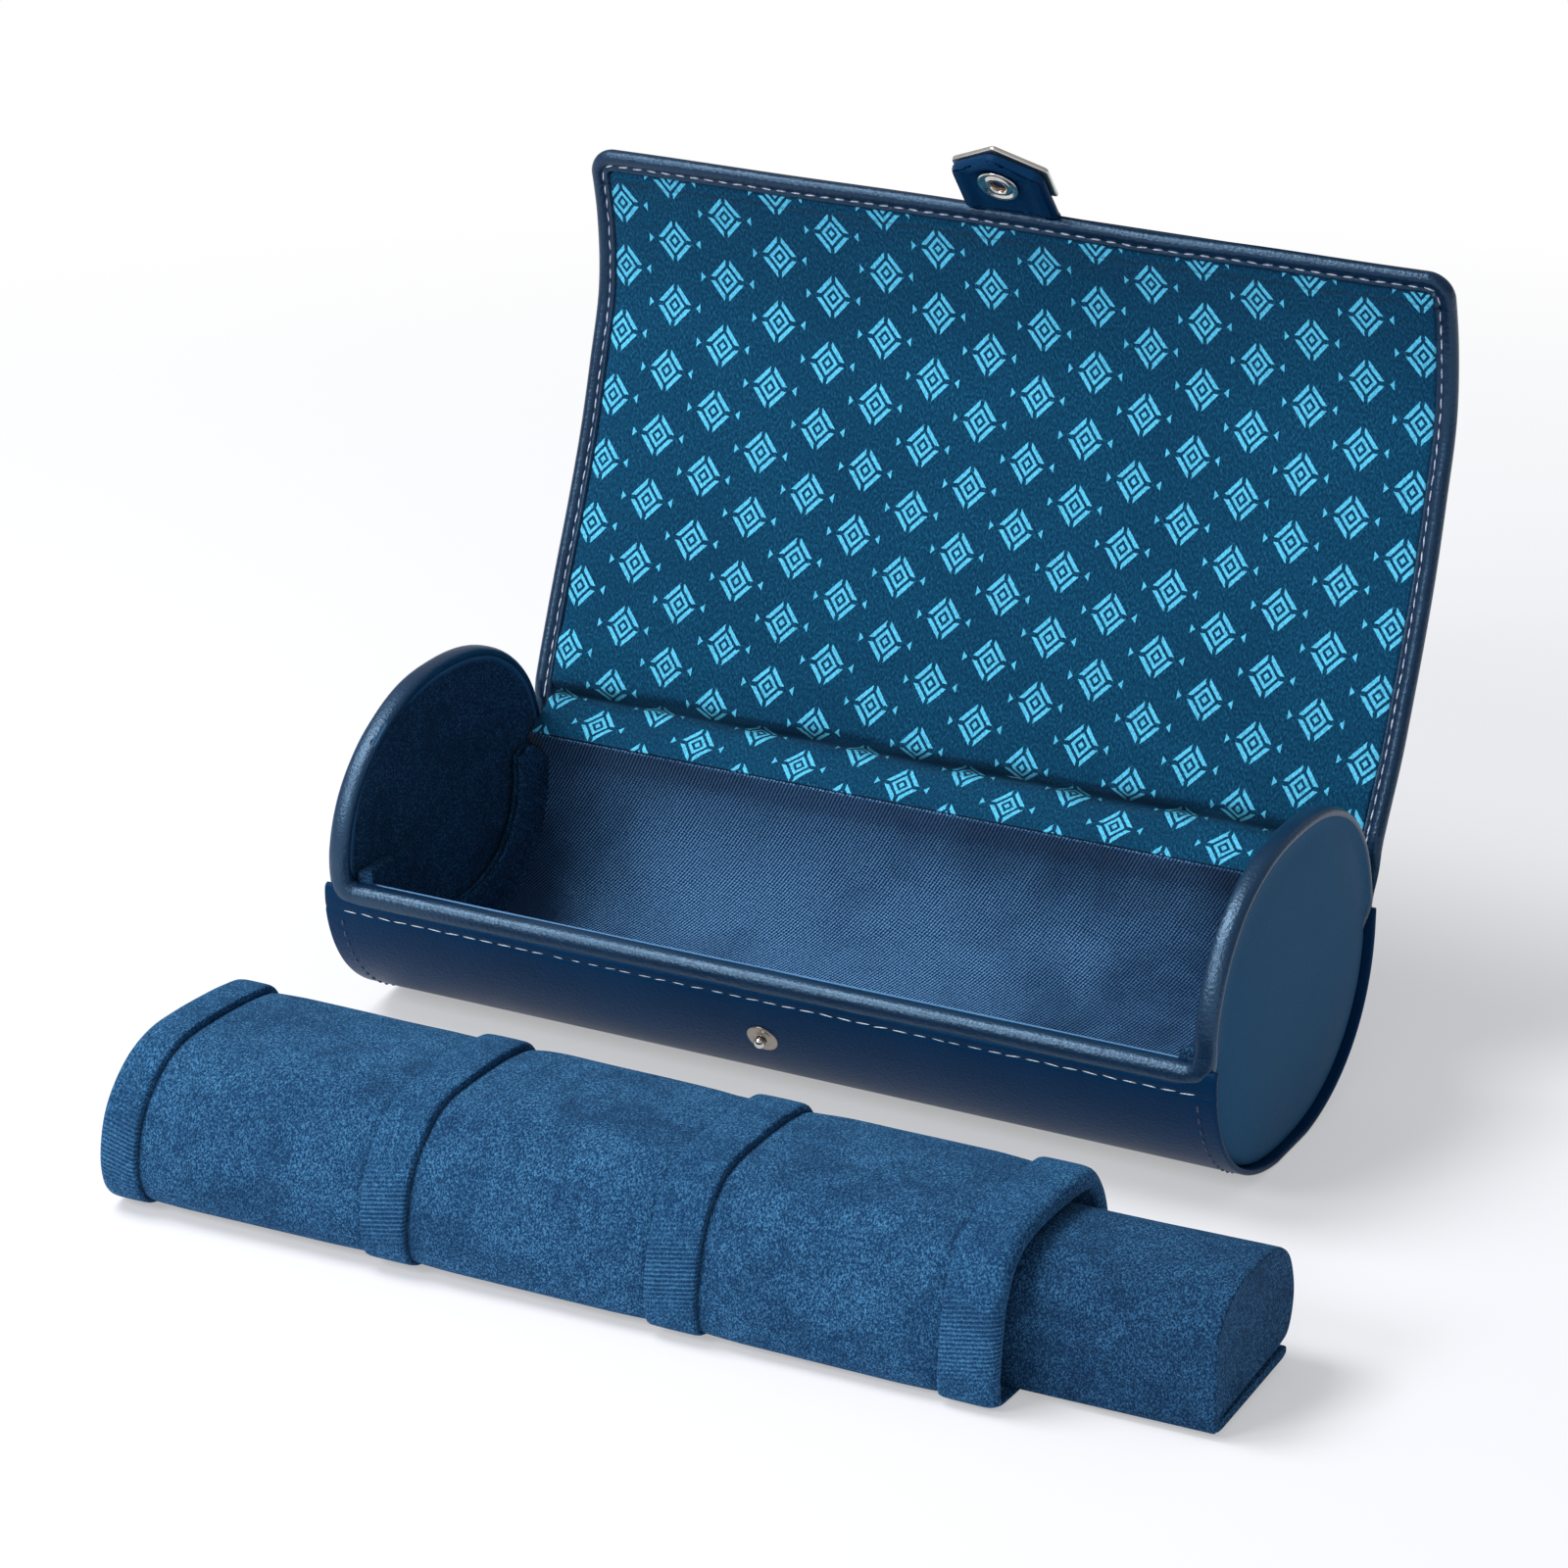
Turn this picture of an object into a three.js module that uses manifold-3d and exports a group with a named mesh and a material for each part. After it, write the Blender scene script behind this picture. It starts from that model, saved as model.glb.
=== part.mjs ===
// A watch roll: a round-sectioned leather case with its lid standing open,
// and the cushion roll that it holds lying in front with its pillow drawn out.
// Millimetres. X runs along the roll, Y to the back, Z up, and the origin is
// the middle of the flat under the case.

import * as THREE from 'three';
import { mergeVertices } from 'three/addons/utils/BufferGeometryUtils.js';
import Module from 'manifold-3d';

// The case
const caseLength = 240;
const caseHalfDepth = 50;
const caseHalfHeight = 42.4;
const caseFloorFlat = 0.4;
const sectionPower = 2.25;
const sectionSteps = 26;
const outlineSteps = 44;
const leatherThickness = 1.4;
const boardThickness = 2.4;
const liningThickness = 0.8;
const fitGap = 0.3;
const rearWallHeight = 51.5;
const lipHeight = 42.5;
const lipDrop = 6.2;
const lipRound = 3;
const lipLeatherDrop = 1.4;
const hingeStripThickness = 0.8;

// The two ends
const endRimThickness = 1.2;
const endCrown = 1.2;
const endBoardThickness = 1.4;
const endLiningThickness = 0.7;
const endCrownShares = [[0.94, 0.5], [0.82, 0.85], [0.6, 0.97]];
const ribWidth = 6.5;
const ribDepth = 5;
const ribSlot = 1.5;
const ribFrontHeight = 41.5;
const ribRearHeight = 50.2;

// The lid, in strips that hinge on their lining side
const lidWidth = 239;
const lidStripCount = 8;
const lidEdgeDrop = 9.414;
const lidLeatherThickness = 1.4;
const lidPadThickness = 0.9;
const lidLiningThickness = 0.6;
const lidLiningMargin = 8;
const lidEndMargin = 7;
const lidHingeRise = 0.3;
const lidClearance = 3.1;
const lidFrontShift = 0.8;
const lidRestTurns = [64, 0, -0.5, 2.5, 4.5, 2.5, 17, 12];

// The fastening tab
const tabWidth = 25.4;
const tabRootLength = 4;
const tabShoulder = 19;
const tabLength = 26;
const tabLeatherThickness = 1.1;
const tabInset = 0.8;
const tabRestTurn = 25;
const tabOutswing = 60;
const plateThickness = 0.8;
const plateOverhang = 1.2;

// The press stud and its socket
const studStandoff = 2.7;
const studLowestShare = 0.25;
const studBallRadius = 1.4;
const studNeckRadius = 1;
const studTip = 3.4;
const studBaseRadius = 3.6;
const studBaseThickness = 0.7;
const studRivetRadius = 3.4;
const studRivetThickness = 0.7;
const studRound = 20;
const socketBore = 2.2;
const socketRadius = 5;
const socketThickness = 1.2;
const socketSleeveRadius = 3;
const capThickness = 0.8;

// The cushion roll
const cushionX = -0.6;
const cushionY = -121.5;
const cushionLength = 229;
const cushionSteps = 36;
const bandHalfWidth = 36;
const bandTop = 39.6;
const bandBottomThickness = 0.4;
const bandThickness = 1.5;
const bandWidth = 12.8;
const bandRound = 0.7;
const bandSpacing = 72.6;
const coverCrown = 0.7;
const coverSag = 0.3;
const coverWall = 4;
const coverFloor = 0.8;
const cushionFlat = 0.5;
const cushionWidestShare = 0.41;
const cushionTopPower = 2.5;
const cushionBottomPower = 4.5;

// The pillow that slides in it
const pillowLength = 226;
const pillowHalfWidth = 22.5;
const pillowDrawn = 160;
const pillowTopPower = 2.8;
const pillowRunningGap = 0.4;
const pillowEndRound = 2.4;
const pillowDrawnIn = 0.5;
const pillowBoardThickness = 2;
const pillowBoardHalfWidth = 20;

const cutOverrun = 2;
const weldShare = 0.001;
const searchSteps = 40;
const radiansPerDegree = Math.PI / 180;

const wasm = await Module();
wasm.setup();

const group = new THREE.Group();

// Colours and finishes
const finishes = {
  leather: { color: 0x163a5f, roughness: 0.45, metalness: 0 },
  board: { color: 0x8a8378, roughness: 0.9, metalness: 0 },
  trayLining: { color: 0x2b4a78, roughness: 0.85, metalness: 0 },
  lidLining: { color: 0x145070, roughness: 0.9, metalness: 0 },
  foam: { color: 0xd8d8d2, roughness: 1, metalness: 0 },
  metal: { color: 0xc4c6c8, roughness: 0.25, metalness: 1 },
  suede: { color: 0x23598c, roughness: 1, metalness: 0 },
};

function addPiece(parent, name, finish, geometry) {
  const mesh = new THREE.Mesh(geometry, new THREE.MeshStandardMaterial(finishes[finish]));
  mesh.name = name;
  parent.add(mesh);
  return mesh;
}

// Solids made from outlines in the YZ plane

function extrudeAlongX(outline, length) {
  const shape = Array.isArray(outline) ? new THREE.Shape(outline) : outline;
  const geometry = new THREE.ExtrudeGeometry(shape, { depth: length, bevelEnabled: false, curveSegments: 6 });
  geometry.translate(0, 0, -length / 2);
  const turn = new THREE.Matrix4().makeBasis(
    new THREE.Vector3(0, 1, 0),
    new THREE.Vector3(0, 0, 1),
    new THREE.Vector3(1, 0, 0),
  );
  return geometry.applyMatrix4(turn);
}

// Joins rings of equal counts, each { x, points }, into one closed body.
// An open stack is closed by its end rings, and a looped one by its first ring.
function loft(rings, looped) {
  const positions = [];
  const count = rings[0].points.length;
  for (const ring of rings) {
    for (const point of ring.points) {
      positions.push(ring.x, point.x, point.y);
    }
  }
  const indices = [];
  const spans = looped ? rings.length : rings.length - 1;
  for (let i = 0; i < spans; i += 1) {
    const near = i * count;
    const far = ((i + 1) % rings.length) * count;
    for (let j = 0; j < count; j += 1) {
      const next = (j + 1) % count;
      indices.push(near + j, near + next, far + next, near + j, far + next, far + j);
    }
  }
  if (!looped) {
    const first = positions.length / 3;
    for (const ring of [rings[0], rings[rings.length - 1]]) {
      const middle = new THREE.Vector2();
      for (const point of ring.points) {
        middle.addScaledVector(point, 1 / count);
      }
      positions.push(ring.x, middle.x, middle.y);
    }
    const last = (rings.length - 1) * count;
    for (let j = 0; j < count; j += 1) {
      const next = (j + 1) % count;
      indices.push(first, next, j, first + 1, last + j, last + next);
    }
  }
  const geometry = new THREE.BufferGeometry();
  geometry.setAttribute('position', new THREE.Float32BufferAttribute(positions, 3));
  geometry.setIndex(indices);
  return geometry;
}

// Booleans

function toSolid(geometry) {
  const plain = geometry.clone();
  plain.deleteAttribute('normal');
  plain.deleteAttribute('uv');
  const merged = mergeVertices(plain, fitGap * weldShare);
  return new wasm.Manifold(new wasm.Mesh({
    numProp: 3,
    vertProperties: new Float32Array(merged.attributes.position.array),
    triVerts: new Uint32Array(merged.index.array),
  }));
}

function cut(geometry, tools) {
  let solid = toSolid(geometry);
  for (const tool of tools) {
    solid = solid.subtract(toSolid(tool));
  }
  const mesh = solid.getMesh();
  const result = new THREE.BufferGeometry();
  result.setAttribute('position', new THREE.BufferAttribute(mesh.vertProperties, 3));
  result.setIndex(new THREE.BufferAttribute(mesh.triVerts, 1));
  return result;
}

// The case's section, a rounded oval drawn in by an inset

function ovalPoint(halfDepth, halfHeight, angle) {
  const across = Math.cos(angle);
  const up = Math.sin(angle);
  const power = 2 / sectionPower;
  return new THREE.Vector2(
    Math.sign(across) * Math.abs(across) ** power * halfDepth,
    Math.sign(up) * Math.abs(up) ** power * halfHeight + caseCentreHeight,
  );
}

function sectionPoint(inset, angle) {
  return ovalPoint(caseHalfDepth - inset, caseHalfHeight - inset, angle);
}

function angleAtHeight(inset, height) {
  const rise = (height - caseCentreHeight) / (caseHalfHeight - inset);
  return Math.sign(rise) * Math.asin(Math.abs(rise) ** (sectionPower / 2));
}

// From the rear wall's top, under the bottom, to the front wall's top
function sectionArc(inset, rearHeight, frontHeight) {
  const start = angleAtHeight(inset, rearHeight);
  const end = -Math.PI - angleAtHeight(inset, frontHeight);
  const points = [];
  for (let i = 0; i <= sectionSteps; i += 1) {
    const point = sectionPoint(inset, start + (end - start) * i / sectionSteps);
    point.y = Math.max(point.y, 0);
    points.push(point);
  }
  return points;
}

function troughWall(outerInset, thickness, rearHeight, frontHeight, length) {
  const outer = sectionArc(outerInset, rearHeight, frontHeight);
  const inner = sectionArc(outerInset + thickness, rearHeight, frontHeight);
  return extrudeAlongX([...inner, ...outer.reverse()], length);
}

function wholeSection(inset) {
  const points = [];
  for (let i = 0; i < outlineSteps; i += 1) {
    points.push(sectionPoint(inset, 2 * Math.PI * i / outlineSteps));
  }
  return points;
}

const caseCentreHeight = caseHalfHeight - caseFloorFlat;
const boardInset = leatherThickness + fitGap;
const liningInset = boardInset + boardThickness + fitGap;
const trayInset = liningInset + liningThickness;
const endFace = caseLength / 2;
const endLeatherInner = endFace - endCrown - endRimThickness;
const endBoardInner = endLeatherInner - fitGap - endBoardThickness;
const endLiningInner = endBoardInner - fitGap - endLiningThickness;
const trayLength = 2 * (endLiningInner - fitGap);
const lipBase = lipHeight - lipDrop;
const wallTop = lipBase - fitGap;
const rearBoardTop = rearWallHeight - hingeStripThickness - fitGap;

// The lid as a chain of strips, in the YZ plane

const lidThickness = lidLiningThickness + lidPadThickness + lidLeatherThickness + 2 * fitGap;
const hingeHeight = rearWallHeight + lidHingeRise;

function closingPoint(angle) {
  const point = ovalPoint(
    caseHalfDepth - boardInset + lidClearance,
    caseHalfHeight - boardInset + lidClearance,
    angle,
  );
  point.x -= lidFrontShift;
  return point;
}

function direction(turn) {
  return new THREE.Vector2(Math.cos(turn), Math.sin(turn));
}

// Halves a span until it closes on the value where the test stops holding
function search(from, to, holds) {
  let low = from;
  let high = to;
  for (let i = 0; i < searchSteps; i += 1) {
    const middle = (low + high) / 2;
    if (holds(middle)) {
      low = middle;
    } else {
      high = middle;
    }
  }
  return low;
}

function closingAngle(height) {
  const rise = (height - caseCentreHeight) / (caseHalfHeight - boardInset + lidClearance);
  return Math.sign(rise) * Math.asin(Math.abs(rise) ** (sectionPower / 2));
}

// The strips' ends once the lid lies round the case: equal chords of an oval
function closedChain(stripLength) {
  let angle = closingAngle(hingeHeight);
  const angles = [angle];
  for (let i = 0; i < lidStripCount; i += 1) {
    const from = closingPoint(angle);
    angle = search(angle, angle + Math.PI / 2, (turn) => closingPoint(turn).distanceTo(from) < stripLength);
    angles.push(angle);
  }
  return angles;
}

// The strips are as long as it takes to bring the lid's edge down to its height
const lidEdgeAngle = Math.PI - closingAngle(lipHeight - lidEdgeDrop);
const lidStripLength = search(
  0,
  caseHalfDepth,
  (length) => closedChain(length)[lidStripCount] < lidEdgeAngle,
);
const closedEnds = closedChain(lidStripLength).map(closingPoint);
const restEnds = [closedEnds[0]];
const restHeadings = [];
const closedHeadings = [];
let heading = 0;
for (let i = 0; i < lidStripCount; i += 1) {
  heading += lidRestTurns[i] * radiansPerDegree;
  restHeadings.push(heading);
  restEnds.push(restEnds[i].clone().addScaledVector(direction(heading), lidStripLength));
  const chord = closedEnds[i + 1].clone().sub(closedEnds[i]);
  const turn = Math.atan2(chord.y, chord.x);
  closedHeadings.push(turn < 0 ? turn + 2 * Math.PI : turn);
}

// Where the tab's two bends lie, at rest and with the lid closed
function tabPlaces(edge, lidHeading, bend) {
  const outward = direction(lidHeading - Math.PI / 2);
  const root = edge.clone().addScaledVector(outward, tabInset);
  const knuckle = root.clone().addScaledVector(direction(lidHeading + bend), tabRootLength);
  return { root, knuckle, heading: lidHeading + bend };
}

const tabAtRest = tabPlaces(
  restEnds[lidStripCount],
  restHeadings[lidStripCount - 1],
  tabRestTurn * radiansPerDegree,
);
const tabClosed = tabPlaces(closedEnds[lidStripCount], closedHeadings[lidStripCount - 1], 0);

// Where a pressed tab would lie square over a stud at some height on the front
function studSeatAt(height) {
  const angle = -Math.PI - angleAtHeight(0, height);
  const foot = sectionPoint(0, angle);
  const down = sectionPoint(0, angle + radiansPerDegree).sub(sectionPoint(0, angle - radiansPerDegree));
  down.normalize();
  const outward = new THREE.Vector2(down.y, -down.x);
  const seat = foot.clone().addScaledVector(outward, studStandoff);
  const reach = seat.clone().sub(tabClosed.knuckle);
  return { foot, down, outward, reach };
}

// The stud's height is the one at which the tab's knuckle falls in line
const studHeight = search(caseCentreHeight * studLowestShare, lipHeight - lipDrop, (height) => {
  const { outward, reach } = studSeatAt(height);
  return reach.dot(outward) > 0;
});
const stud = studSeatAt(studHeight);
const studPlace = stud.foot;
const studAxis = stud.outward;
const socketDistance = stud.reach.length();
const pressedHeading = Math.atan2(stud.down.y, stud.down.x) + 2 * Math.PI;
const pressTurn = pressedHeading - tabClosed.heading;

// Turns a lathe's axis, +Y, to lie along a direction in the YZ plane
function placeLathe(profile, place, axis) {
  const geometry = new THREE.LatheGeometry(profile.map(([r, h]) => new THREE.Vector2(r, h)), studRound);
  const turn = new THREE.Quaternion().setFromUnitVectors(
    new THREE.Vector3(0, 1, 0),
    new THREE.Vector3(0, axis.x, axis.y),
  );
  geometry.applyQuaternion(turn);
  geometry.translate(0, place.x, place.y);
  return geometry;
}

function rod(radius, from, to, place, axis) {
  return placeLathe([[0, from], [radius, from], [radius, to], [0, to]], place, axis);
}

// The trough of the case, from the outside in

const shankRadius = studNeckRadius + fitGap;
const wallDepth = trayInset + cutOverrun;
addPiece(group, 'tray_leather', 'leather', cut(
  troughWall(0, leatherThickness, rearWallHeight, lipHeight - lipLeatherDrop, caseLength),
  [rod(shankRadius, -wallDepth, cutOverrun, studPlace, studAxis)],
));
addPiece(group, 'tray_shell', 'board', cut(
  troughWall(boardInset, boardThickness, rearBoardTop, wallTop, trayLength),
  [rod(studRivetRadius + fitGap, -wallDepth, cutOverrun, studPlace, studAxis)],
));
addPiece(group, 'tray_lining', 'trayLining', troughWall(
  liningInset,
  liningThickness,
  rearBoardTop,
  wallTop,
  trayLength,
));

function frontPoint(inset, height) {
  return sectionPoint(inset, -Math.PI - angleAtHeight(inset, height));
}

function lipOutline() {
  const outerFoot = frontPoint(boardInset, lipBase);
  const outerTop = frontPoint(boardInset, lipHeight - lipRound);
  const innerFoot = frontPoint(trayInset, lipBase);
  const innerTop = frontPoint(trayInset, lipHeight - lipRound);
  const shape = new THREE.Shape();
  shape.moveTo(outerFoot.x, outerFoot.y);
  shape.lineTo(innerFoot.x, innerFoot.y);
  shape.lineTo(innerTop.x, innerTop.y);
  shape.bezierCurveTo(innerTop.x, lipHeight, innerTop.x, lipHeight, (innerTop.x + outerTop.x) / 2, lipHeight);
  shape.bezierCurveTo(outerTop.x, lipHeight, outerTop.x, lipHeight, outerTop.x, outerTop.y);
  shape.closePath();
  return shape;
}

addPiece(group, 'lip_binding', 'leather', extrudeAlongX(lipOutline(), trayLength));

function hingeStripOutline() {
  const bottom = rearWallHeight - hingeStripThickness;
  return [
    sectionPoint(boardInset, angleAtHeight(boardInset, bottom)),
    sectionPoint(boardInset, angleAtHeight(boardInset, rearWallHeight)),
    sectionPoint(trayInset, angleAtHeight(trayInset, rearWallHeight)),
    sectionPoint(trayInset, angleAtHeight(trayInset, bottom)),
  ];
}

addPiece(group, 'hinge_strip', 'lidLining', extrudeAlongX(hingeStripOutline(), trayLength));

// The ends: a crowned leather face, a board, a lining, and the half ring inside

function endLeather(side) {
  const halfDepth = caseHalfDepth - boardInset;
  const halfHeight = caseHalfHeight - boardInset;
  const rimFace = endFace - endCrown;
  const rings = [
    { x: endLeatherInner, points: wholeSection(boardInset) },
    { x: rimFace, points: wholeSection(boardInset) },
  ];
  for (const [sizeShare, riseShare] of endCrownShares) {
    const points = [];
    for (let i = 0; i < outlineSteps; i += 1) {
      const angle = 2 * Math.PI * i / outlineSteps;
      const centre = caseCentreHeight * (1 - sizeShare);
      const point = ovalPoint(halfDepth, halfHeight, angle).multiplyScalar(sizeShare);
      point.y += centre;
      points.push(point);
    }
    rings.push({ x: rimFace + endCrown * riseShare, points });
  }
  const mirrored = rings.map((ring) => ({ x: -ring.x, points: ring.points })).reverse();
  return loft(side > 0 ? rings : mirrored, false);
}

function endDisc(side, innerFace, thickness) {
  const geometry = extrudeAlongX(wholeSection(boardInset + fitGap), thickness);
  return geometry.translate(side * (innerFace + thickness / 2), 0, 0);
}

for (const [side, label] of [[-1, 'left'], [1, 'right']]) {
  addPiece(group, `${label}_end_leather`, 'leather', endLeather(side));
  addPiece(group, `${label}_end_board`, 'board', endDisc(side, endBoardInner, endBoardThickness));
  addPiece(group, `${label}_end_lining`, 'trayLining', endDisc(side, endLiningInner, endLiningThickness));
  const rib = troughWall(trayInset + fitGap, ribDepth, ribRearHeight, ribFrontHeight, ribWidth);
  const ribPlace = side * (endLiningInner - ribSlot - ribWidth / 2);
  addPiece(group, `${label}_end_rib`, 'trayLining', rib.translate(ribPlace, 0, 0));
}

// The stud: a ball on a shank, its flange, and the rivet head behind the leather

const ballCentre = studTip - studBallRadius;
const neckEnd = studBaseThickness + fitGap / 2;
const ballProfile = [[0, -leatherThickness - fitGap], [studNeckRadius, -leatherThickness - fitGap]];
ballProfile.push([studNeckRadius, neckEnd]);
const ballSteps = 7;
const ballStart = Math.asin(studNeckRadius / studBallRadius);
for (let i = 0; i <= ballSteps; i += 1) {
  const angle = ballStart + (Math.PI - ballStart) * i / ballSteps;
  const radius = i === ballSteps ? 0 : studBallRadius * Math.sin(angle);
  ballProfile.push([radius, ballCentre - studBallRadius * Math.cos(angle)]);
}
const rivetTop = -leatherThickness - fitGap;
addPiece(group, 'snap_stud', 'metal', placeLathe(ballProfile, studPlace, studAxis));
addPiece(group, 'snap_stud_flange', 'metal', placeLathe([
  [shankRadius, fitGap],
  [studBaseRadius, fitGap],
  [studBaseRadius, studBaseThickness],
  [shankRadius, studBaseThickness + fitGap],
  [shankRadius, fitGap],
], studPlace, studAxis));
addPiece(group, 'snap_stud_rivet', 'metal', rod(
  studRivetRadius,
  rivetTop - fitGap - studRivetThickness,
  rivetTop - fitGap,
  studPlace,
  studAxis,
));

// The lid

function lidLayer(strip, inner, thickness, width, endMargin) {
  const start = fitGap;
  const end = lidStripLength - fitGap - endMargin;
  const place = restEnds[strip];
  const along = direction(restHeadings[strip]);
  const outward = direction(restHeadings[strip] - Math.PI / 2);
  const corners = [[start, inner], [end, inner], [end, inner + thickness], [start, inner + thickness]];
  const outline = corners.map(([reach, depth]) => place.clone()
    .addScaledVector(along, reach)
    .addScaledVector(outward, depth));
  return extrudeAlongX(outline.reverse(), width);
}

const lidPadInner = lidLiningThickness + fitGap;
const lidLeatherInner = lidPadInner + lidPadThickness + fitGap;
const lidLiningWidth = lidWidth - 2 * lidLiningMargin;
for (let i = 0; i < lidStripCount; i += 1) {
  const number = i + 1;
  const margin = number === lidStripCount ? lidEndMargin : 0;
  const leather = lidLayer(i, lidLeatherInner, lidLeatherThickness, lidWidth, 0);
  const pad = lidLayer(i, lidPadInner, lidPadThickness, lidLiningWidth, margin);
  const lining = lidLayer(i, 0, lidLiningThickness, lidLiningWidth, margin);
  addPiece(group, `lid_leather_${number}`, 'leather', leather);
  addPiece(group, `lid_pad_${number}`, 'foam', pad);
  addPiece(group, `lid_lining_${number}`, 'lidLining', lining);
}

// The tab. Its outline is drawn flat, with Y along the tab from the root bend
// and Z out of the lining side, then turned into place.

const tabFrame = new THREE.Group();
tabFrame.position.set(0, tabAtRest.root.x, tabAtRest.root.y);
tabFrame.rotation.x = tabAtRest.heading;
group.add(tabFrame);

function tabLayer(from, shoulder, tip, width, near, thickness) {
  const half = width / 2;
  const shape = new THREE.Shape();
  shape.moveTo(-half, from);
  shape.lineTo(half, from);
  shape.lineTo(half, shoulder);
  shape.lineTo(0, tip);
  shape.lineTo(-half, shoulder);
  shape.closePath();
  const geometry = new THREE.ExtrudeGeometry(shape, { depth: thickness, bevelEnabled: false });
  return geometry.translate(0, 0, -near - thickness);
}

function tabRound(profile) {
  const points = profile.map(([r, h]) => new THREE.Vector2(r, h));
  const geometry = new THREE.LatheGeometry(points, studRound);
  geometry.rotateX(Math.PI / 2);
  return geometry.translate(0, tabRootLength + socketDistance, 0);
}

const tabStart = tabRootLength + fitGap;
const tabBevel = tabOutswing * radiansPerDegree / 2;
const tabOuterNear = tabLeatherThickness + fitGap;
const rootThickness = tabOuterNear + tabLeatherThickness;
const plateNear = rootThickness + fitGap;
const socketHole = socketSleeveRadius + fitGap;
const throughTab = plateNear + plateThickness;

// The root and the tab are both cut back behind their bend, so it can open
function tabRootOutline() {
  const end = tabRootLength - fitGap;
  return [
    new THREE.Vector2(0, -rootThickness),
    new THREE.Vector2(end - rootThickness * Math.tan(tabBevel), -rootThickness),
    new THREE.Vector2(end, 0),
    new THREE.Vector2(0, 0),
  ];
}

const bevelCut = new THREE.BoxGeometry(2 * tabWidth, tabLength, tabLength);
bevelCut.translate(0, -tabLength / 2, 0).rotateX(tabBevel).translate(0, tabStart, 0);
const socketCut = tabRound([
  [0, -throughTab],
  [socketHole, -throughTab],
  [socketHole, cutOverrun],
  [0, cutOverrun],
]);
addPiece(tabFrame, 'tab_root', 'leather', extrudeAlongX(tabRootOutline(), tabWidth));
addPiece(tabFrame, 'tab_leather_inner', 'leather', cut(
  tabLayer(tabRootLength, tabShoulder, tabLength, tabWidth, 0, tabLeatherThickness),
  [socketCut, bevelCut],
));
addPiece(tabFrame, 'tab_leather_outer', 'leather', cut(
  tabLayer(tabRootLength, tabShoulder, tabLength, tabWidth, tabOuterNear, tabLeatherThickness),
  [socketCut, bevelCut],
));
addPiece(tabFrame, 'tab_plate', 'metal', cut(
  tabLayer(
    tabRootLength,
    tabShoulder + plateOverhang / 2,
    tabLength + plateOverhang,
    tabWidth + plateOverhang,
    plateNear,
    plateThickness,
  ),
  [bevelCut],
));
addPiece(tabFrame, 'snap_socket', 'metal', tabRound([
  [socketBore, -tabLeatherThickness],
  [socketSleeveRadius, -tabLeatherThickness],
  [socketSleeveRadius, fitGap / 2],
  [socketRadius, fitGap / 2],
  [socketRadius, socketThickness - fitGap],
  [(socketRadius + socketBore) / 2, socketThickness],
  [socketBore, socketThickness - fitGap],
  [socketBore, -tabLeatherThickness],
]));
addPiece(tabFrame, 'snap_cap', 'metal', tabRound([
  [0, -tabOuterNear - capThickness],
  [socketSleeveRadius, -tabOuterNear - capThickness],
  [socketSleeveRadius, -tabOuterNear],
  [0, -tabOuterNear],
]));

// The cushion roll: a sleeve, its bands, and the pillow inside

// A round-topped, flat-bottomed outline between two heights
function softOutline(halfWidth, bottom, top, topPower) {
  const widest = bottom + (top - bottom) * cushionWidestShare;
  const points = [];
  for (let i = 0; i < cushionSteps; i += 1) {
    const angle = 2 * Math.PI * (i + 1 / 2) / cushionSteps;
    const power = Math.sin(angle) > 0 ? topPower : cushionBottomPower;
    const reach = Math.sin(angle) > 0 ? top - widest : widest - bottom + cushionFlat;
    const across = Math.sign(Math.cos(angle)) * Math.abs(Math.cos(angle)) ** (2 / power);
    const up = Math.sign(Math.sin(angle)) * Math.abs(Math.sin(angle)) ** (2 / power);
    points.push(new THREE.Vector2(across * halfWidth, Math.max(widest + up * reach, bottom)));
  }
  return points;
}

const cushionFrame = new THREE.Group();
cushionFrame.position.set(cushionX, cushionY, 0);
group.add(cushionFrame);

const coverBottom = bandBottomThickness + fitGap;
const coverHalfWidth = bandHalfWidth - bandThickness - fitGap;
const coverTop = bandTop - bandThickness - fitGap;
const coverEnd = cushionLength / 2;
const bandPlaces = [
  -coverEnd + bandWidth / 2,
  -bandSpacing / 2,
  bandSpacing / 2,
  coverEnd - bandWidth / 2,
];

function coverRing(x, swell) {
  const points = softOutline(coverHalfWidth + swell, coverBottom, coverTop + swell, cushionTopPower);
  return { x, points };
}

const boreFloor = coverBottom + coverFloor;
const boreTop = coverTop - coverWall;
const boreHalfWidth = coverHalfWidth - coverWall;

function boreRing(x) {
  return { x, points: softOutline(boreHalfWidth, boreFloor, boreTop, cushionTopPower) };
}

const coverRings = [coverRing(-coverEnd, 0)];
for (let i = 0; i + 1 < bandPlaces.length; i += 1) {
  const from = bandPlaces[i] + bandWidth / 2;
  const to = bandPlaces[i + 1] - bandWidth / 2;
  const inward = bandWidth / 4;
  coverRings.push(coverRing(from, 0));
  coverRings.push(coverRing(from + inward, coverCrown));
  coverRings.push(coverRing((from + to) / 2, coverCrown - coverSag));
  coverRings.push(coverRing(to - inward, coverCrown));
  coverRings.push(coverRing(to, 0));
}
coverRings.push(coverRing(coverEnd, 0), boreRing(coverEnd), boreRing(-coverEnd));
addPiece(cushionFrame, 'sleeve_cover', 'suede', loft(coverRings, true));

function bandRing(x, thickness) {
  const halfWidth = bandHalfWidth - bandThickness + thickness;
  const bottom = bandBottomThickness * (1 - thickness / bandThickness);
  return { x, points: softOutline(halfWidth, bottom, bandTop - bandThickness + thickness, cushionTopPower) };
}

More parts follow.
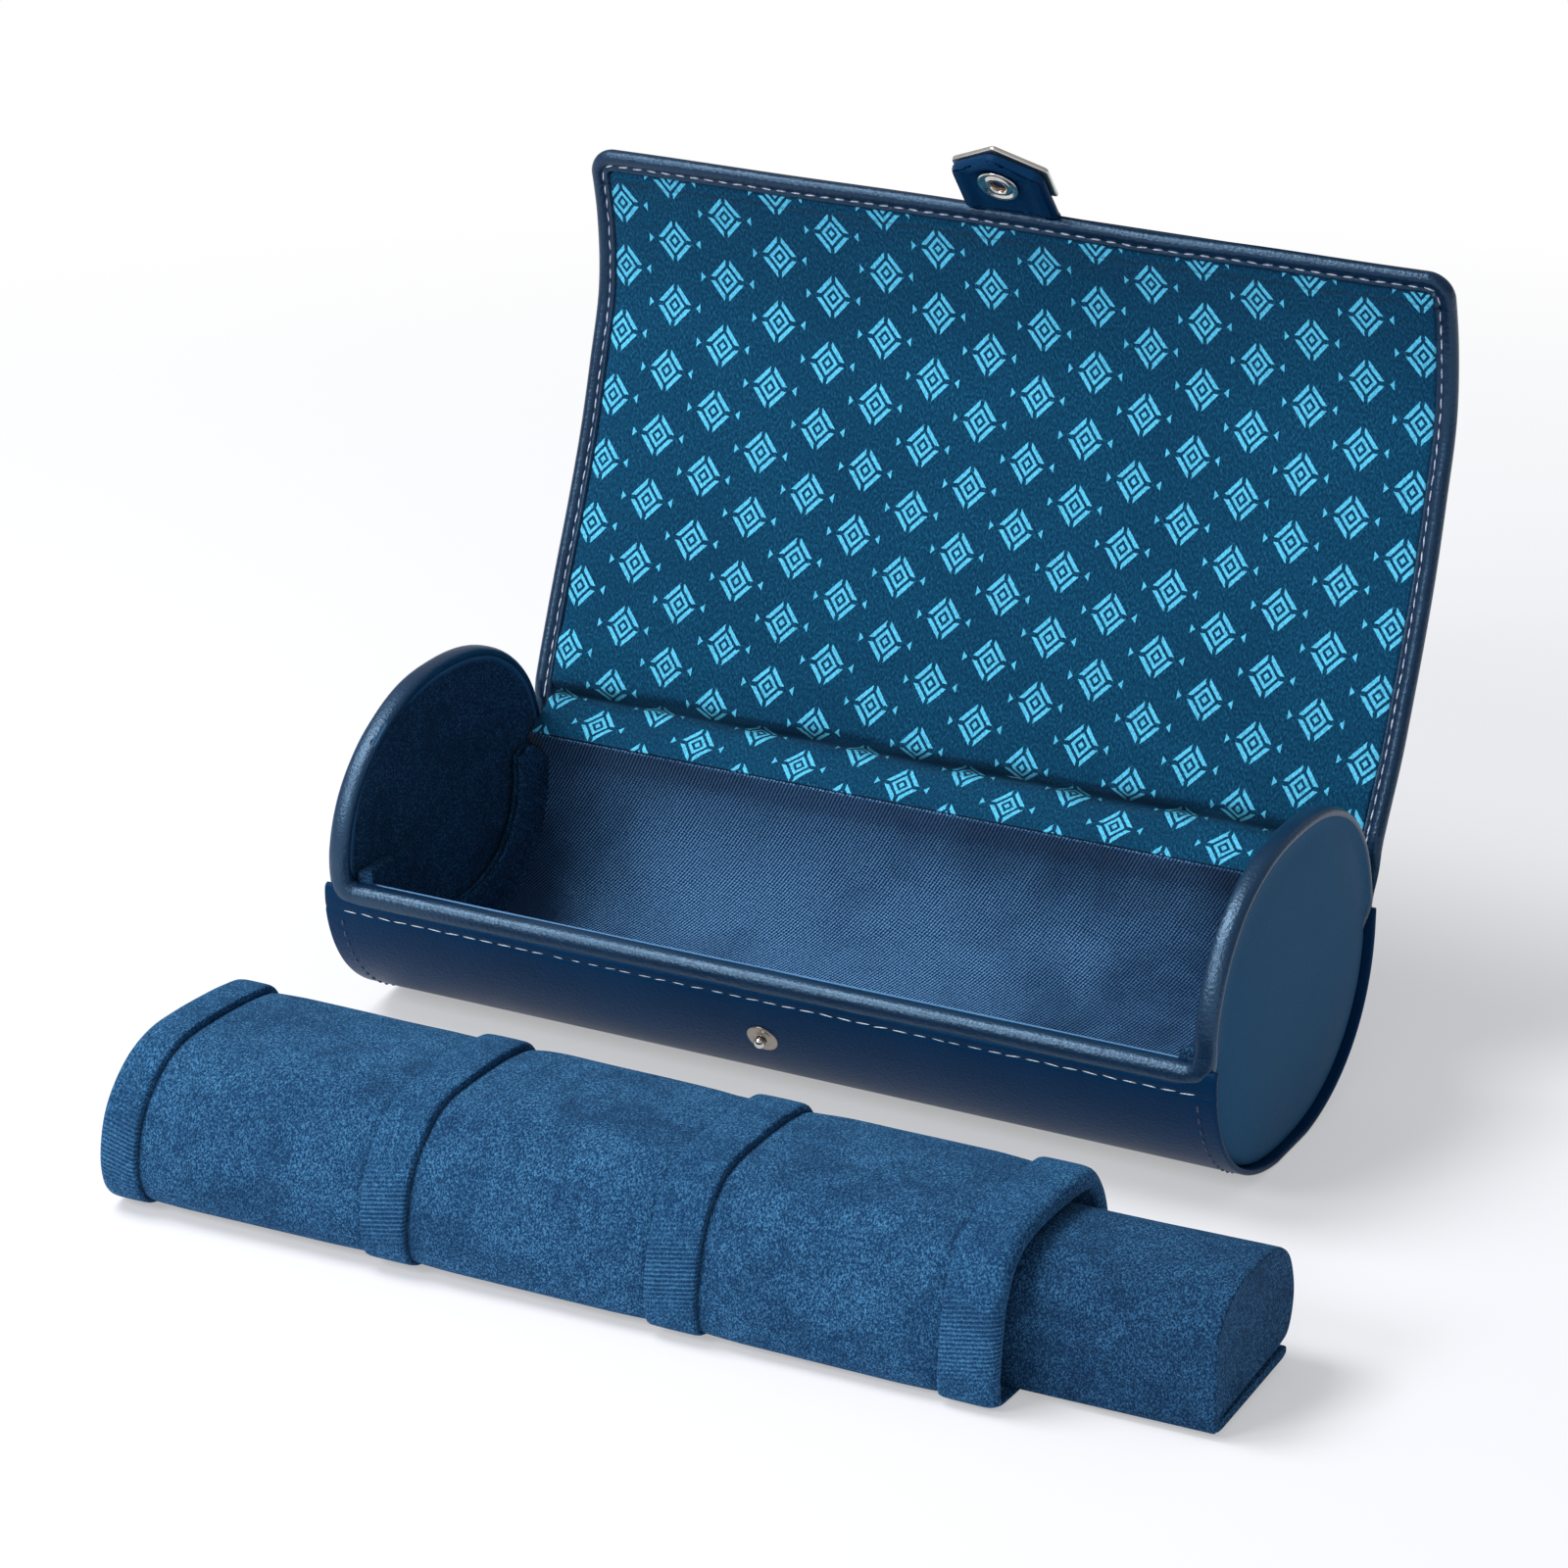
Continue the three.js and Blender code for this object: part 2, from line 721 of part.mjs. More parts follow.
bandPlaces.forEach((place, i) => {
  const from = place - bandWidth / 2;
  const to = place + bandWidth / 2;
  const shoulder = bandThickness - bandRound;
  addPiece(cushionFrame, `sleeve_band_${i + 1}`, 'suede', loft([
    bandRing(from, 0),
    bandRing(from, shoulder),
    bandRing(from + bandRound, bandThickness),
    bandRing(to - bandRound, bandThickness),
    bandRing(to, shoulder),
    bandRing(to, 0),
  ], true));
});

const pillowEnd = pillowDrawn - cushionX;
const pillowStart = pillowEnd - pillowLength;
const pillowBoardBottom = boreFloor + pillowRunningGap;
const pillowBottom = pillowBoardBottom + pillowBoardThickness + fitGap;
const pillowTop = boreTop - pillowRunningGap;

function pillowRing(x, inset) {
  const halfWidth = pillowHalfWidth - inset;
  return { x, points: softOutline(halfWidth, pillowBottom + inset / 2, pillowTop - inset, pillowTopPower) };
}

addPiece(cushionFrame, 'pillow_block', 'suede', loft([
  pillowRing(pillowStart, pillowEndRound / 2),
  pillowRing(pillowStart + pillowEndRound / 2, pillowDrawnIn / 2),
  pillowRing(pillowStart + pillowEndRound * 2, 0),
  pillowRing((pillowStart + pillowEnd) / 2, pillowDrawnIn),
  pillowRing(pillowEnd - pillowEndRound * 2, 0),
  pillowRing(pillowEnd - pillowEndRound / 2, pillowDrawnIn / 2),
  pillowRing(pillowEnd, pillowEndRound / 2),
], false));
const pillowBoard = new THREE.BoxGeometry(pillowLength, 2 * pillowBoardHalfWidth, pillowBoardThickness);
pillowBoard.translate((pillowStart + pillowEnd) / 2, 0, pillowBoardBottom + pillowBoardThickness / 2);
addPiece(cushionFrame, 'pillow_board', 'suede', pillowBoard);

// The hinges' places and their turns from rest to closed, for whoever poses it
group.userData.lidTurns = restHeadings.map((turn, i) => {
  const before = i > 0 ? closedHeadings[i - 1] - restHeadings[i - 1] : 0;
  return (closedHeadings[i] - turn - before) / radiansPerDegree;
});
group.userData.lidHinges = restEnds.map((point) => point.toArray());
group.userData.tabHinges = [tabAtRest.root.toArray(), tabAtRest.knuckle.toArray()];
group.userData.tabTurns = [-tabRestTurn, pressTurn / radiansPerDegree, -tabOutswing];
group.userData.stud = { place: studPlace.toArray(), socketDistance };

export default group;
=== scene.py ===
import itertools
import math

import bpy
import numpy as np
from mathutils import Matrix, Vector


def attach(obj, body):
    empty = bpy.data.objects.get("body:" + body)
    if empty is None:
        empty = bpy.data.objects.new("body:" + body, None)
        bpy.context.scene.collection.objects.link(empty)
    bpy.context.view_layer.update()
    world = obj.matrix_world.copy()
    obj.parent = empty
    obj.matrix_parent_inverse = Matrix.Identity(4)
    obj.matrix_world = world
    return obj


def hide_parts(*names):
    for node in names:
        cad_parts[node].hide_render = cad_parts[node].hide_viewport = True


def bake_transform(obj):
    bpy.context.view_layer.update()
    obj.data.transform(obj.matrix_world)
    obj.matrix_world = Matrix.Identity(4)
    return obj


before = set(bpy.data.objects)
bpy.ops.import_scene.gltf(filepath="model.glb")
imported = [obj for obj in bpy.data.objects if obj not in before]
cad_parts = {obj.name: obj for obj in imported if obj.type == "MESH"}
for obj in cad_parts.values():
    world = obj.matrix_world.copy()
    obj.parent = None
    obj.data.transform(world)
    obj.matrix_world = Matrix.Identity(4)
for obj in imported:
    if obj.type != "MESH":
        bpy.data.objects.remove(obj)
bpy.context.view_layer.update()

mm = 0.001
print("frame loaded:", len(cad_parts), "nodes")


# Small helpers for shapes. Everything is drawn in millimetres and stored in metres.

def smoothStep(value, low, high):
    share = np.clip((np.asarray(value, float) - low) / (high - low), 0, 1)
    return share * share * (3 - 2 * share)


def quarterRound(value, size):
    # rises from 0 to 1 over the size, steep at first
    return np.sqrt(np.clip(1 - (1 - np.clip(value, 0, size) / size) ** 2, 0, 1))


def bell(value, middle, width):
    return np.exp(-((value - middle) / width) ** 2)


def signedPower(value, power):
    return np.sign(value) * np.abs(value) ** power


def unit(vectors):
    size = np.linalg.norm(vectors, axis=-1, keepdims=True)
    return vectors / np.where(size < 1e-9, 1, size)


def turned(direction):
    # a direction in the YZ plane, turned by a quarter
    return np.stack([-direction[..., 1], direction[..., 0]], -1)


def turnAngles(count):
    return np.linspace(0, 2 * math.pi, count, endpoint=False)


def atX(x, outline):
    # an outline in the YZ plane, stood at x
    return np.column_stack([np.full(len(outline), x), outline])


def softNoise(points, size, seed):
    # smooth bumps about one size apart, from -1 to 1, the same on every run
    count = 32
    table = np.random.RandomState(seed).uniform(-1, 1, (count, count, count))
    place = np.asarray(points, float) / size
    cell = np.floor(place).astype(int)
    part = place - cell
    part = part * part * (3 - 2 * part)
    total = np.zeros(place.shape[:-1])
    for step in itertools.product((0, 1), repeat=3):
        near = (cell + step) % count
        corner = table[near[..., 0], near[..., 1], near[..., 2]]
        total += corner * np.prod(np.where(step, part, 1 - part), -1)
    return total


def addObject(name, data):
    made = bpy.data.objects.new(name, data)
    bpy.context.scene.collection.objects.link(made)
    return made


def volumeOf(places, faces):
    # six times the volume inside the faces
    volume = 0.0
    for face in faces:
        for k in range(1, len(face) - 1):
            volume += float(np.dot(places[face[0]], np.cross(places[face[k]], places[face[k + 1]])))
    return volume


def gridPiece(name, points, material, kind="tube", surface=None, normals=None, same=None):
    # a mesh from rows and columns of points: a tube's rows are closed and its two ends capped,
    # a ring's last row also meets the first, and a sheet stays open
    rows, columns = points.shape[:2]
    index = np.arange(rows * columns).reshape(rows, columns) if same is None else same
    i = np.arange(rows if kind == "ring" else rows - 1)[:, None]
    j = np.arange(columns - 1 if kind == "sheet" else columns)[None, :]
    iNext, jNext = (i + 1) % rows, (j + 1) % columns
    quads = np.stack([index[i, j], index[i, jNext], index[iNext, jNext], index[iNext, j]], -1)
    if surface is None:
        surface = np.zeros((rows + 1, columns + 1, 2))
    places = np.stack([surface[i, j], surface[i, j + 1], surface[i + 1, j + 1], surface[i + 1, j]], 2)
    faces, facePlaces, capped = [], [], []
    for quad, place in zip(quads.reshape(-1, 4).tolist(), places.reshape(-1, 4, 2).tolist()):
        keep = [k for k in range(4) if quad[k] != quad[k - 1]]
        if len(keep) > 2:
            faces.append([quad[k] for k in keep])
            facePlaces.append([place[k] for k in keep])
            capped.append(False)
    ends = ((0, -1), (rows - 1, 1)) if kind == "tube" else ()
    for row, step in ends:
        ring, place = index[row].tolist(), surface[row, :columns].tolist()
        keep = [k for k in range(columns) if ring[k] != ring[k - 1] and ring[k] not in ring[:k]]
        if len(keep) > 2:
            faces.append([ring[k] for k in keep[::step]])
            facePlaces.append([place[k] for k in keep[::step]])
            capped.append(True)
    flat = points.reshape(-1, 3)
    sign = 1 if volumeOf(flat - flat.mean(0), faces) >= 0 else -1
    faces = [face[::sign] for face in faces]
    facePlaces = [place[::sign] for place in facePlaces]
    used = np.unique(np.concatenate([np.array(face) for face in faces]))
    renumber = np.full(rows * columns, -1)
    renumber[used] = np.arange(len(used))
    mesh = bpy.data.meshes.new(name)
    mesh.from_pydata((flat[used] * mm).tolist(), [], [renumber[face].tolist() for face in faces])
    uvLayer = mesh.uv_layers.new(name="surface")
    uvLayer.data.foreach_set("uv", np.concatenate([np.array(p).ravel() for p in facePlaces]) * mm)
    mesh.polygons.foreach_set("use_smooth", [not flag for flag in capped])
    mesh.materials.append(material)
    mesh.update()
    if normals is not None:
        flatNormals = normals.reshape(-1, 3)[used] * sign
        loopNormals = []
        for polygon, flag in zip(mesh.polygons, capped):
            for vertex in polygon.vertices:
                loopNormals.append(tuple(polygon.normal) if flag else tuple(flatNormals[vertex]))
        mesh.normals_split_custom_set(loopNormals)
    return addObject(name, mesh)


def register(piece, body, slot, *nodes):
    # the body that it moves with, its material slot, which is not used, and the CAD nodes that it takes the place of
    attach(piece, body)
    if nodes:
        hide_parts(*nodes)


def lineLengths(line):
    return np.concatenate([[0], np.cumsum(np.linalg.norm(np.diff(line, axis=0), axis=1))])


def pickAlong(length, line, reach):
    return np.stack([np.interp(reach, length, column) for column in line.T], -1)


def splinePath(controls, perSpan=24):
    # a smooth line through the controls, with its length along the way
    controls = np.asarray(controls, float)
    padded = np.vstack([2 * controls[0] - controls[1], controls, 2 * controls[-1] - controls[-2]])
    share = np.linspace(0, 1, perSpan, endpoint=False)[:, None]
    pieces = []
    for k in range(len(controls) - 1):
        p = padded[k:k + 4]
        t = np.concatenate([[0], np.cumsum(np.linalg.norm(np.diff(p, axis=0), axis=1) ** 0.5)])
        now = t[1] + (t[2] - t[1]) * share

        def between(a, b, low, high):
            return (t[high] - now) / (t[high] - t[low]) * a + (now - t[low]) / (t[high] - t[low]) * b

        first = [between(p[n], p[n + 1], n, n + 1) for n in range(3)]
        second = [between(first[n], first[n + 1], n, n + 2) for n in range(2)]
        pieces.append(between(second[0], second[1], 1, 2))
    pieces.append(controls[-1:])
    line = np.vstack(pieces)
    return lineLengths(line), line


def alongPath(path, reach):
    # place and inward normal at some length along a path in the YZ plane
    near = 0.6
    reach = np.asarray(reach, float)
    return pickAlong(*path, reach), turned(unit(pickAlong(*path, reach + near) - pickAlong(*path, reach - near)))


def shiftLine(line, distance):
    return line + distance * turned(unit(np.gradient(line, axis=0)))


# Materials: each takes its colours as red, green and blue from 0 to 255, the darkest first

def linearColor(red, green, blue):
    def one(value):
        value /= 255
        return value / 12.92 if value <= 0.04045 else ((value + 0.055) / 1.055) ** 2.4
    return one(red), one(green), one(blue), 1.0


def newMaterial(name, color, roughness, **sockets):
    material = bpy.data.materials.new(name)
    material.use_nodes = True
    tree = material.node_tree
    shader = tree.nodes["Principled BSDF"]
    shader.inputs["Base Color"].default_value = color
    shader.inputs["Roughness"].default_value = roughness
    for socket, value in sockets.items():
        shader.inputs[socket.replace("_", " ")].default_value = value
    return material, tree, shader


def addNode(tree, kind, inputs=None, **settings):
    node = tree.nodes.new(kind)
    for key, value in settings.items():
        setattr(node, key, value)
    for key, value in (inputs or {}).items():
        if isinstance(value, bpy.types.NodeSocket):
            tree.links.new(value, node.inputs[key])
        else:
            node.inputs[key].default_value = value
    return node


def compute(operation, *values):
    tree = next(value.id_data for value in values if isinstance(value, bpy.types.NodeSocket))
    return addNode(tree, "ShaderNodeMath", dict(enumerate(values)), operation=operation).outputs[0]


def plus(first, second):
    return compute("ADD", first, second)


def minus(first, second):
    return compute("SUBTRACT", first, second)


def times(first, second):
    return compute("MULTIPLY", first, second)


def noiseOf(place, scale, detail=2.0, roughness=0.5, distortion=0.0):
    return addNode(place.id_data, "ShaderNodeTexNoise", {
        "Vector": place, "Scale": scale, "Detail": detail, "Roughness": roughness, "Distortion": distortion,
    }).outputs["Fac"]


def spread(value, fromLow, fromHigh, toLow, toHigh):
    return addNode(value.id_data, "ShaderNodeMapRange", {
        "Value": value, "From Min": fromLow, "From Max": fromHigh, "To Min": toLow, "To Max": toHigh,
    }).outputs[0]


def mixColor(share, first, second):
    return addNode(share.id_data, "ShaderNodeMix", {0: share, 6: first, 7: second}, data_type="RGBA").outputs[2]


def coordinatesOf(tree, kind="Object"):
    return addNode(tree, "ShaderNodeTexCoord").outputs[kind]


def stretched(place, scale, turn=(0, 0, 0)):
    return addNode(place.id_data, "ShaderNodeMapping", {
        "Vector": place, "Scale": scale, "Rotation": turn}).outputs[0]


def partsOf(place):
    # its x, y and z as three numbers
    return addNode(place.id_data, "ShaderNodeSeparateXYZ", {0: place}).outputs


def foldsOf(tree):
    # about a half on flat ground, lower in a crease and higher on an edge
    return addNode(tree, "ShaderNodeNewGeometry").outputs["Pointiness"]


def finishShader(shader, tone, height, strength, distance):
    # the colour, and a bump of this depth in millimetres
    tree = shader.id_data
    bump = addNode(tree, "ShaderNodeBump", {"Height": height, "Strength": strength, "Distance": distance * mm})
    tree.links.new(bump.outputs[0], shader.inputs["Normal"])
    if tone is not None:
        tree.links.new(tone, shader.inputs["Base Color"])


def leatherMaterial(name, colors, roughness, grain, depth, shine):
    color, pale = [linearColor(*value) for value in colors]
    material, tree, shader = newMaterial(name, color, roughness, Specular_IOR_Level=shine,
                                         Specular_Tint=(0.42, 0.70, 1.0, 1.0))
    place = coordinatesOf(tree)
    cells = addNode(tree, "ShaderNodeTexVoronoi", {"Vector": place, "Scale": 1000 / grain}, feature="F1")
    fine = noiseOf(place, 2600 / grain, 3)
    broad = noiseOf(place, 38, 3)
    tone = mixColor(spread(broad, 0.35, 0.7, 0, 0.35), color, pale)
    # painted edge highlight: the colour turns paler on raised edges
    tone = mixColor(spread(foldsOf(tree), 0.53, 0.62, 0, 0.3), tone, pale)
    gloss = spread(plus(broad, times(fine, 0.5)), 0.4, 1.1, roughness - 0.05, roughness + 0.09)
    tree.links.new(gloss, shader.inputs["Roughness"])
    finishShader(shader, tone, plus(cells.outputs["Distance"], times(fine, 0.7)), 0.5, depth)
    return material


def suedeMaterial(name, colors, ribbed=False, edged=False):
    # ribs: millimetres apart and where on the roll they show; edge: where a lining's pale cut edge starts
    look = {"nap": 0.1, "ribPitch": 1.0, "ribLow": (0.004, 0.013), "ribHigh": (0.019, 0.031),
            "ribFront": (-0.146, -0.14), "edge": (0.95, 0.98)}
    dark, color, pale = [linearColor(*value) for value in colors]
    material, tree, shader = newMaterial(name, color, 0.95, Sheen_Weight=0.28, Sheen_Roughness=0.45,
                                         Sheen_Tint=pale, Specular_IOR_Level=0.15)
    place = coordinatesOf(tree)
    blotches = noiseOf(stretched(place, (0.8, 1.1, 1.2)), 60, 6, 0.6, 0.3)
    patches = noiseOf(stretched(place, (1.0, 0.8, 0.9)), 260, 4, 0.65, 0.5)
    nap = noiseOf(stretched(place, (1.0, 0.6, 0.75), (0.3, 0.5, 0.6)), 2500, 3, 0.7)
    cloud = plus(times(blotches, 0.55), times(patches, 0.45))
    tone = mixColor(spread(cloud, 0.4, 0.6, 0.15, 1), dark, color)
    tone = mixColor(spread(nap, 0.40, 0.5, 1, 0), tone, dark)
    tone = mixColor(times(spread(nap, 0.5, 0.6, 0, 1), spread(cloud, 0.4, 0.62, 0.4, 1.0)), tone, pale)
    # painted shade: the suede is darker in its creases
    tone = mixColor(spread(foldsOf(tree), 0.40, 0.485, 0.8, 0), tone, dark)
    height = plus(nap, times(noiseOf(place, 4200, 2), 0.6))
    if ribbed:
        along = partsOf(coordinatesOf(tree, "UV"))
        wave = compute("SINE", times(plus(along[1], times(along[0], 0.2)), 2 * math.pi / (look["ribPitch"] * mm)))
        where = partsOf(place)
        front = times(spread(where[2], *look["ribHigh"], 1, 0), spread(where[1], *look["ribFront"], 1, 0))
        rib = times(wave, times(spread(where[2], *look["ribLow"], 0, 1), front))
        # painted shade in the troughs between the ribs, and a painted highlight on their crests
        tone = mixColor(spread(rib, -1, 0.2, 0.7, 0), tone, dark)
        tone = mixColor(spread(rib, 0.2, 1, 0, 0.4), tone, pale)
        height = plus(height, times(rib, 0.9))
    if edged:
        share = partsOf(coordinatesOf(tree, "UV"))[0]
        tone = mixColor(spread(share, look["edge"][0] * mm, look["edge"][1] * mm, 0, 0.95), tone, pale)
    finishShader(shader, tone, height, 0.6, look["nap"])
    return material


def twillMaterial(name, colors):
    # the twill's slant comes from two sine waves; a pool of light is painted at the tray's middle, with painted shade
    # towards its ends, and a painted highlight on its front edge
    look = {"pitch": 0.95, "slant": 0.55, "cross": 0.3, "crossPitch": 1.15, "middle": 0.012,
            "edgeHeight": (0.0386, 0.0394), "edgeFront": (-0.04, -0.0432)}
    dark, color, pale = [linearColor(*value) for value in colors]
    material, tree, shader = newMaterial(name, color, 0.9, Sheen_Weight=0.1, Sheen_Roughness=0.5,
                                         Specular_IOR_Level=0.05)
    place = coordinatesOf(tree, "UV")
    x, y = partsOf(place)[:2]
    turns = 2 * math.pi / (look["pitch"] * mm)
    warp = compute("SINE", times(plus(x, times(y, look["slant"])), turns))
    weft = compute("SINE", times(minus(y, times(x, look["cross"])), look["crossPitch"] * turns))
    mark = plus(plus(times(warp, 0.15), times(weft, 0.07)), noiseOf(place, 3000, 2, 0.7))
    middle = compute("ABSOLUTE", plus(x, look["middle"]))
    # painted light: the tray's middle is painted brighter, and both ends darker as if shaded
    lit = plus(spread(middle, 0.02, 0.11, 0.16, -0.1), noiseOf(place, 24, 4, 0.6, 0.5))
    tone = mixColor(spread(lit, 0.36, 0.68, 0.5, 0), color, dark)
    tone = mixColor(spread(mark, 0.38, 0.5, 0.9, 0), tone, dark)
    bright = times(spread(mark, 0.5, 0.62, 0, 0.95), spread(lit, 0.36, 0.66, 0.25, 1))
    # a painted highlight: pale along the top of the lining's front edge
    where = partsOf(coordinatesOf(tree))
    edge = times(spread(where[2], *look["edgeHeight"], 0, 0.8), spread(where[1], *look["edgeFront"], 0, 1))
    finishShader(shader, mixColor(compute("MAXIMUM", bright, edge), tone, pale), mark, 0.5, 0.12)
    return material


def printedMaterial(name, colors):
    # a woven cloth with small printed lozenges, each column dropped by half a row
    look = {"column": 14.8, "row": 16.9, "halfWidth": 5.2, "halfHeight": 6.1, "dot": 1.2, "frame": (0.74, 1.0),
            "ring": (0.34, 0.54), "heart": 0.16, "gapAcross": 0.55, "gapAlong": 0.6, "fold": 11.4,
            "foldHalf": (1.2, 6.0), "foldWander": 5}
    dark, color, pale, ink = [linearColor(*value) for value in colors]
    material, tree, shader = newMaterial(name, color, 0.9, Sheen_Weight=0.06, Sheen_Roughness=0.5,
                                         Specular_IOR_Level=0.05)
    place = coordinatesOf(tree, "UV")
    x, y = partsOf(place)[:2]

    def fromMiddle(value, size):
        return compute("ABSOLUTE", times(minus(compute("FRACT", value), 0.5), size))

    def within(value, low, high):
        return times(compute("GREATER_THAN", value, low), compute("LESS_THAN", value, high))

    across = compute("DIVIDE", x, look["column"] * mm)
    drop = times(compute("MODULO", plus(compute("FLOOR", across), 40.0), 2.0), 0.5)
    a = fromMiddle(across, look["column"])
    b = fromMiddle(plus(compute("DIVIDE", y, look["row"] * mm), drop), look["row"])
    fray = times(minus(noiseOf(place, 1700, 1), 0.5), 0.5)
    reach = plus(compute("DIVIDE", a, look["halfWidth"]), compute("DIVIDE", b, look["halfHeight"]))
    reach = plus(reach, times(fray, 0.16))
    # the lozenge's frame is open at its four points, with a small dot beyond each side one
    gaps = times(compute("GREATER_THAN", plus(a, fray), look["gapAcross"]),
                 compute("GREATER_THAN", plus(b, fray), look["gapAlong"]))
    frameLine = times(within(reach, *look["frame"]), gaps)
    heart = compute("LESS_THAN", reach, look["heart"])
    between = compute("LESS_THAN", plus(plus(minus(look["column"] / 2, a), b), fray), look["dot"])
    motif = compute("MAXIMUM", compute("MAXIMUM", frameLine, heart),
                    compute("MAXIMUM", within(reach, *look["ring"]), between))
    thread = noiseOf(stretched(place, (1, 0.6, 1), (0, 0, 0.75)), 1900, 2, 0.6)
    cloth = mixColor(spread(thread, 0.36, 0.6, 1, 0), color, dark)
    cloth = mixColor(spread(thread, 0.58, 0.78, 0, 0.6), cloth, pale)
    cloth = mixColor(spread(noiseOf(place, 30, 2), 0.4, 0.7, 0, 0.3), cloth, dark)
    inked = mixColor(spread(thread, 0.35, 0.6, 0.45, 0), ink, color)
    # painted shade: the cloth is darkened in its creases and along the fold at the hinge
    wander = times(minus(noiseOf(stretched(place, (1, 0.1, 1)), 40, 2), 0.5), look["foldWander"] * mm)
    foldShade = compute("ABSOLUTE", minus(plus(y, wander), look["fold"] * mm))
    foldShade = spread(foldShade, look["foldHalf"][0] * mm, look["foldHalf"][1] * mm, 0.8, 0)
    crease = compute("MAXIMUM", spread(foldsOf(tree), 0.38, 0.475, 0.85, 0), foldShade)
    tone = mixColor(crease, mixColor(motif, cloth, inked), (0.001, 0.008, 0.02, 1))
    finishShader(shader, tone, thread, 0.4, 0.12)
    return material


def metalMaterial(name, color, roughness):
    material, tree, shader = newMaterial(name, linearColor(*color), roughness, Metallic=1.0)
    scratches = noiseOf(stretched(coordinatesOf(tree), (1, 9, 1)), 900, 3, 0.6)
    tree.links.new(spread(scratches, 0.3, 0.7, roughness - 0.06, roughness + 0.1), shader.inputs["Roughness"])
    finishShader(shader, None, scratches, 0.15, 0.02)
    return material


def plainMaterial(name, colors, roughness, size):
    color, pale = [linearColor(*value) for value in colors]
    material, tree, shader = newMaterial(name, color, roughness)
    fleck = noiseOf(coordinatesOf(tree), 1000 / size, 4, 0.6)
    finishShader(shader, mixColor(spread(fleck, 0.35, 0.65, 0, 1), color, pale), fleck, 0.5, 0.05)
    return material


leather = leatherMaterial("Smooth leather", [(8, 44, 78), (16, 58, 96)], 0.34, grain=0.9, depth=0.16, shine=0.08)
rolledLeather = leatherMaterial("Rolled leather", [(5, 32, 59), (10, 45, 77)], 0.33, grain=0.8, depth=0.15, shine=1.0)
grainedLeather = leatherMaterial("Grained leather", [(28, 76, 110), (36, 88, 124)], 0.6, grain=0.8, depth=0.14,
                                 shine=0.1)
borderLeather = leatherMaterial("Border leather", [(4, 27, 52), (16, 48, 82)], 0.32, grain=1.0, depth=0.18, shine=0.65)
# the pillow's suede is the sleeve's suede painted darker: painted shade
shadedPillowSuede = suedeMaterial("Shaded pillow suede", [(9, 39, 70), (24, 63, 98), (62, 114, 156)])
suede = suedeMaterial("Suede", [(12, 47, 82), (29, 74, 112), (76, 132, 176)])
ribbedSuede = suedeMaterial("Ribbed suede", [(13, 50, 86), (31, 78, 118), (78, 136, 180)], ribbed=True)
darkSuede = suedeMaterial("Dark suede", [(11, 34, 58), (19, 50, 78), (48, 94, 132)], edged=True)
ribSuede = suedeMaterial("Rib suede", [(9, 32, 56), (20, 54, 84), (52, 100, 142)])
twill = twillMaterial("Tray twill", [(6, 27, 52), (23, 58, 96), (98, 148, 196)])
printedCloth = printedMaterial("Printed cloth", [(6, 45, 74), (12, 74, 106), (48, 122, 156), (96, 204, 242)])
paleThread = plainMaterial("Pale thread", [(190, 208, 226), (236, 242, 248)], 0.5, 0.4)
blueThread = plainMaterial("Blue thread", [(140, 156, 190), (224, 230, 242)], 0.5, 0.8)
darkThread = plainMaterial("Dark thread", [(16, 32, 60), (60, 80, 116)], 0.6, 0.6)
nickel = metalMaterial("Nickel", (205, 200, 192), 0.16)
dullNickel = metalMaterial("Dull nickel", (150, 142, 134), 0.3)
brass = metalMaterial("Dull brass", (120, 84, 60), 0.35)
brushedNickel = metalMaterial("Brushed nickel", (214, 208, 198), 0.34)
greyboard = plainMaterial("Lined board", [(12, 26, 44), (20, 38, 60)], 0.9, 0.6)
print("materials made")


# Stitches: short thread dashes laid along a line

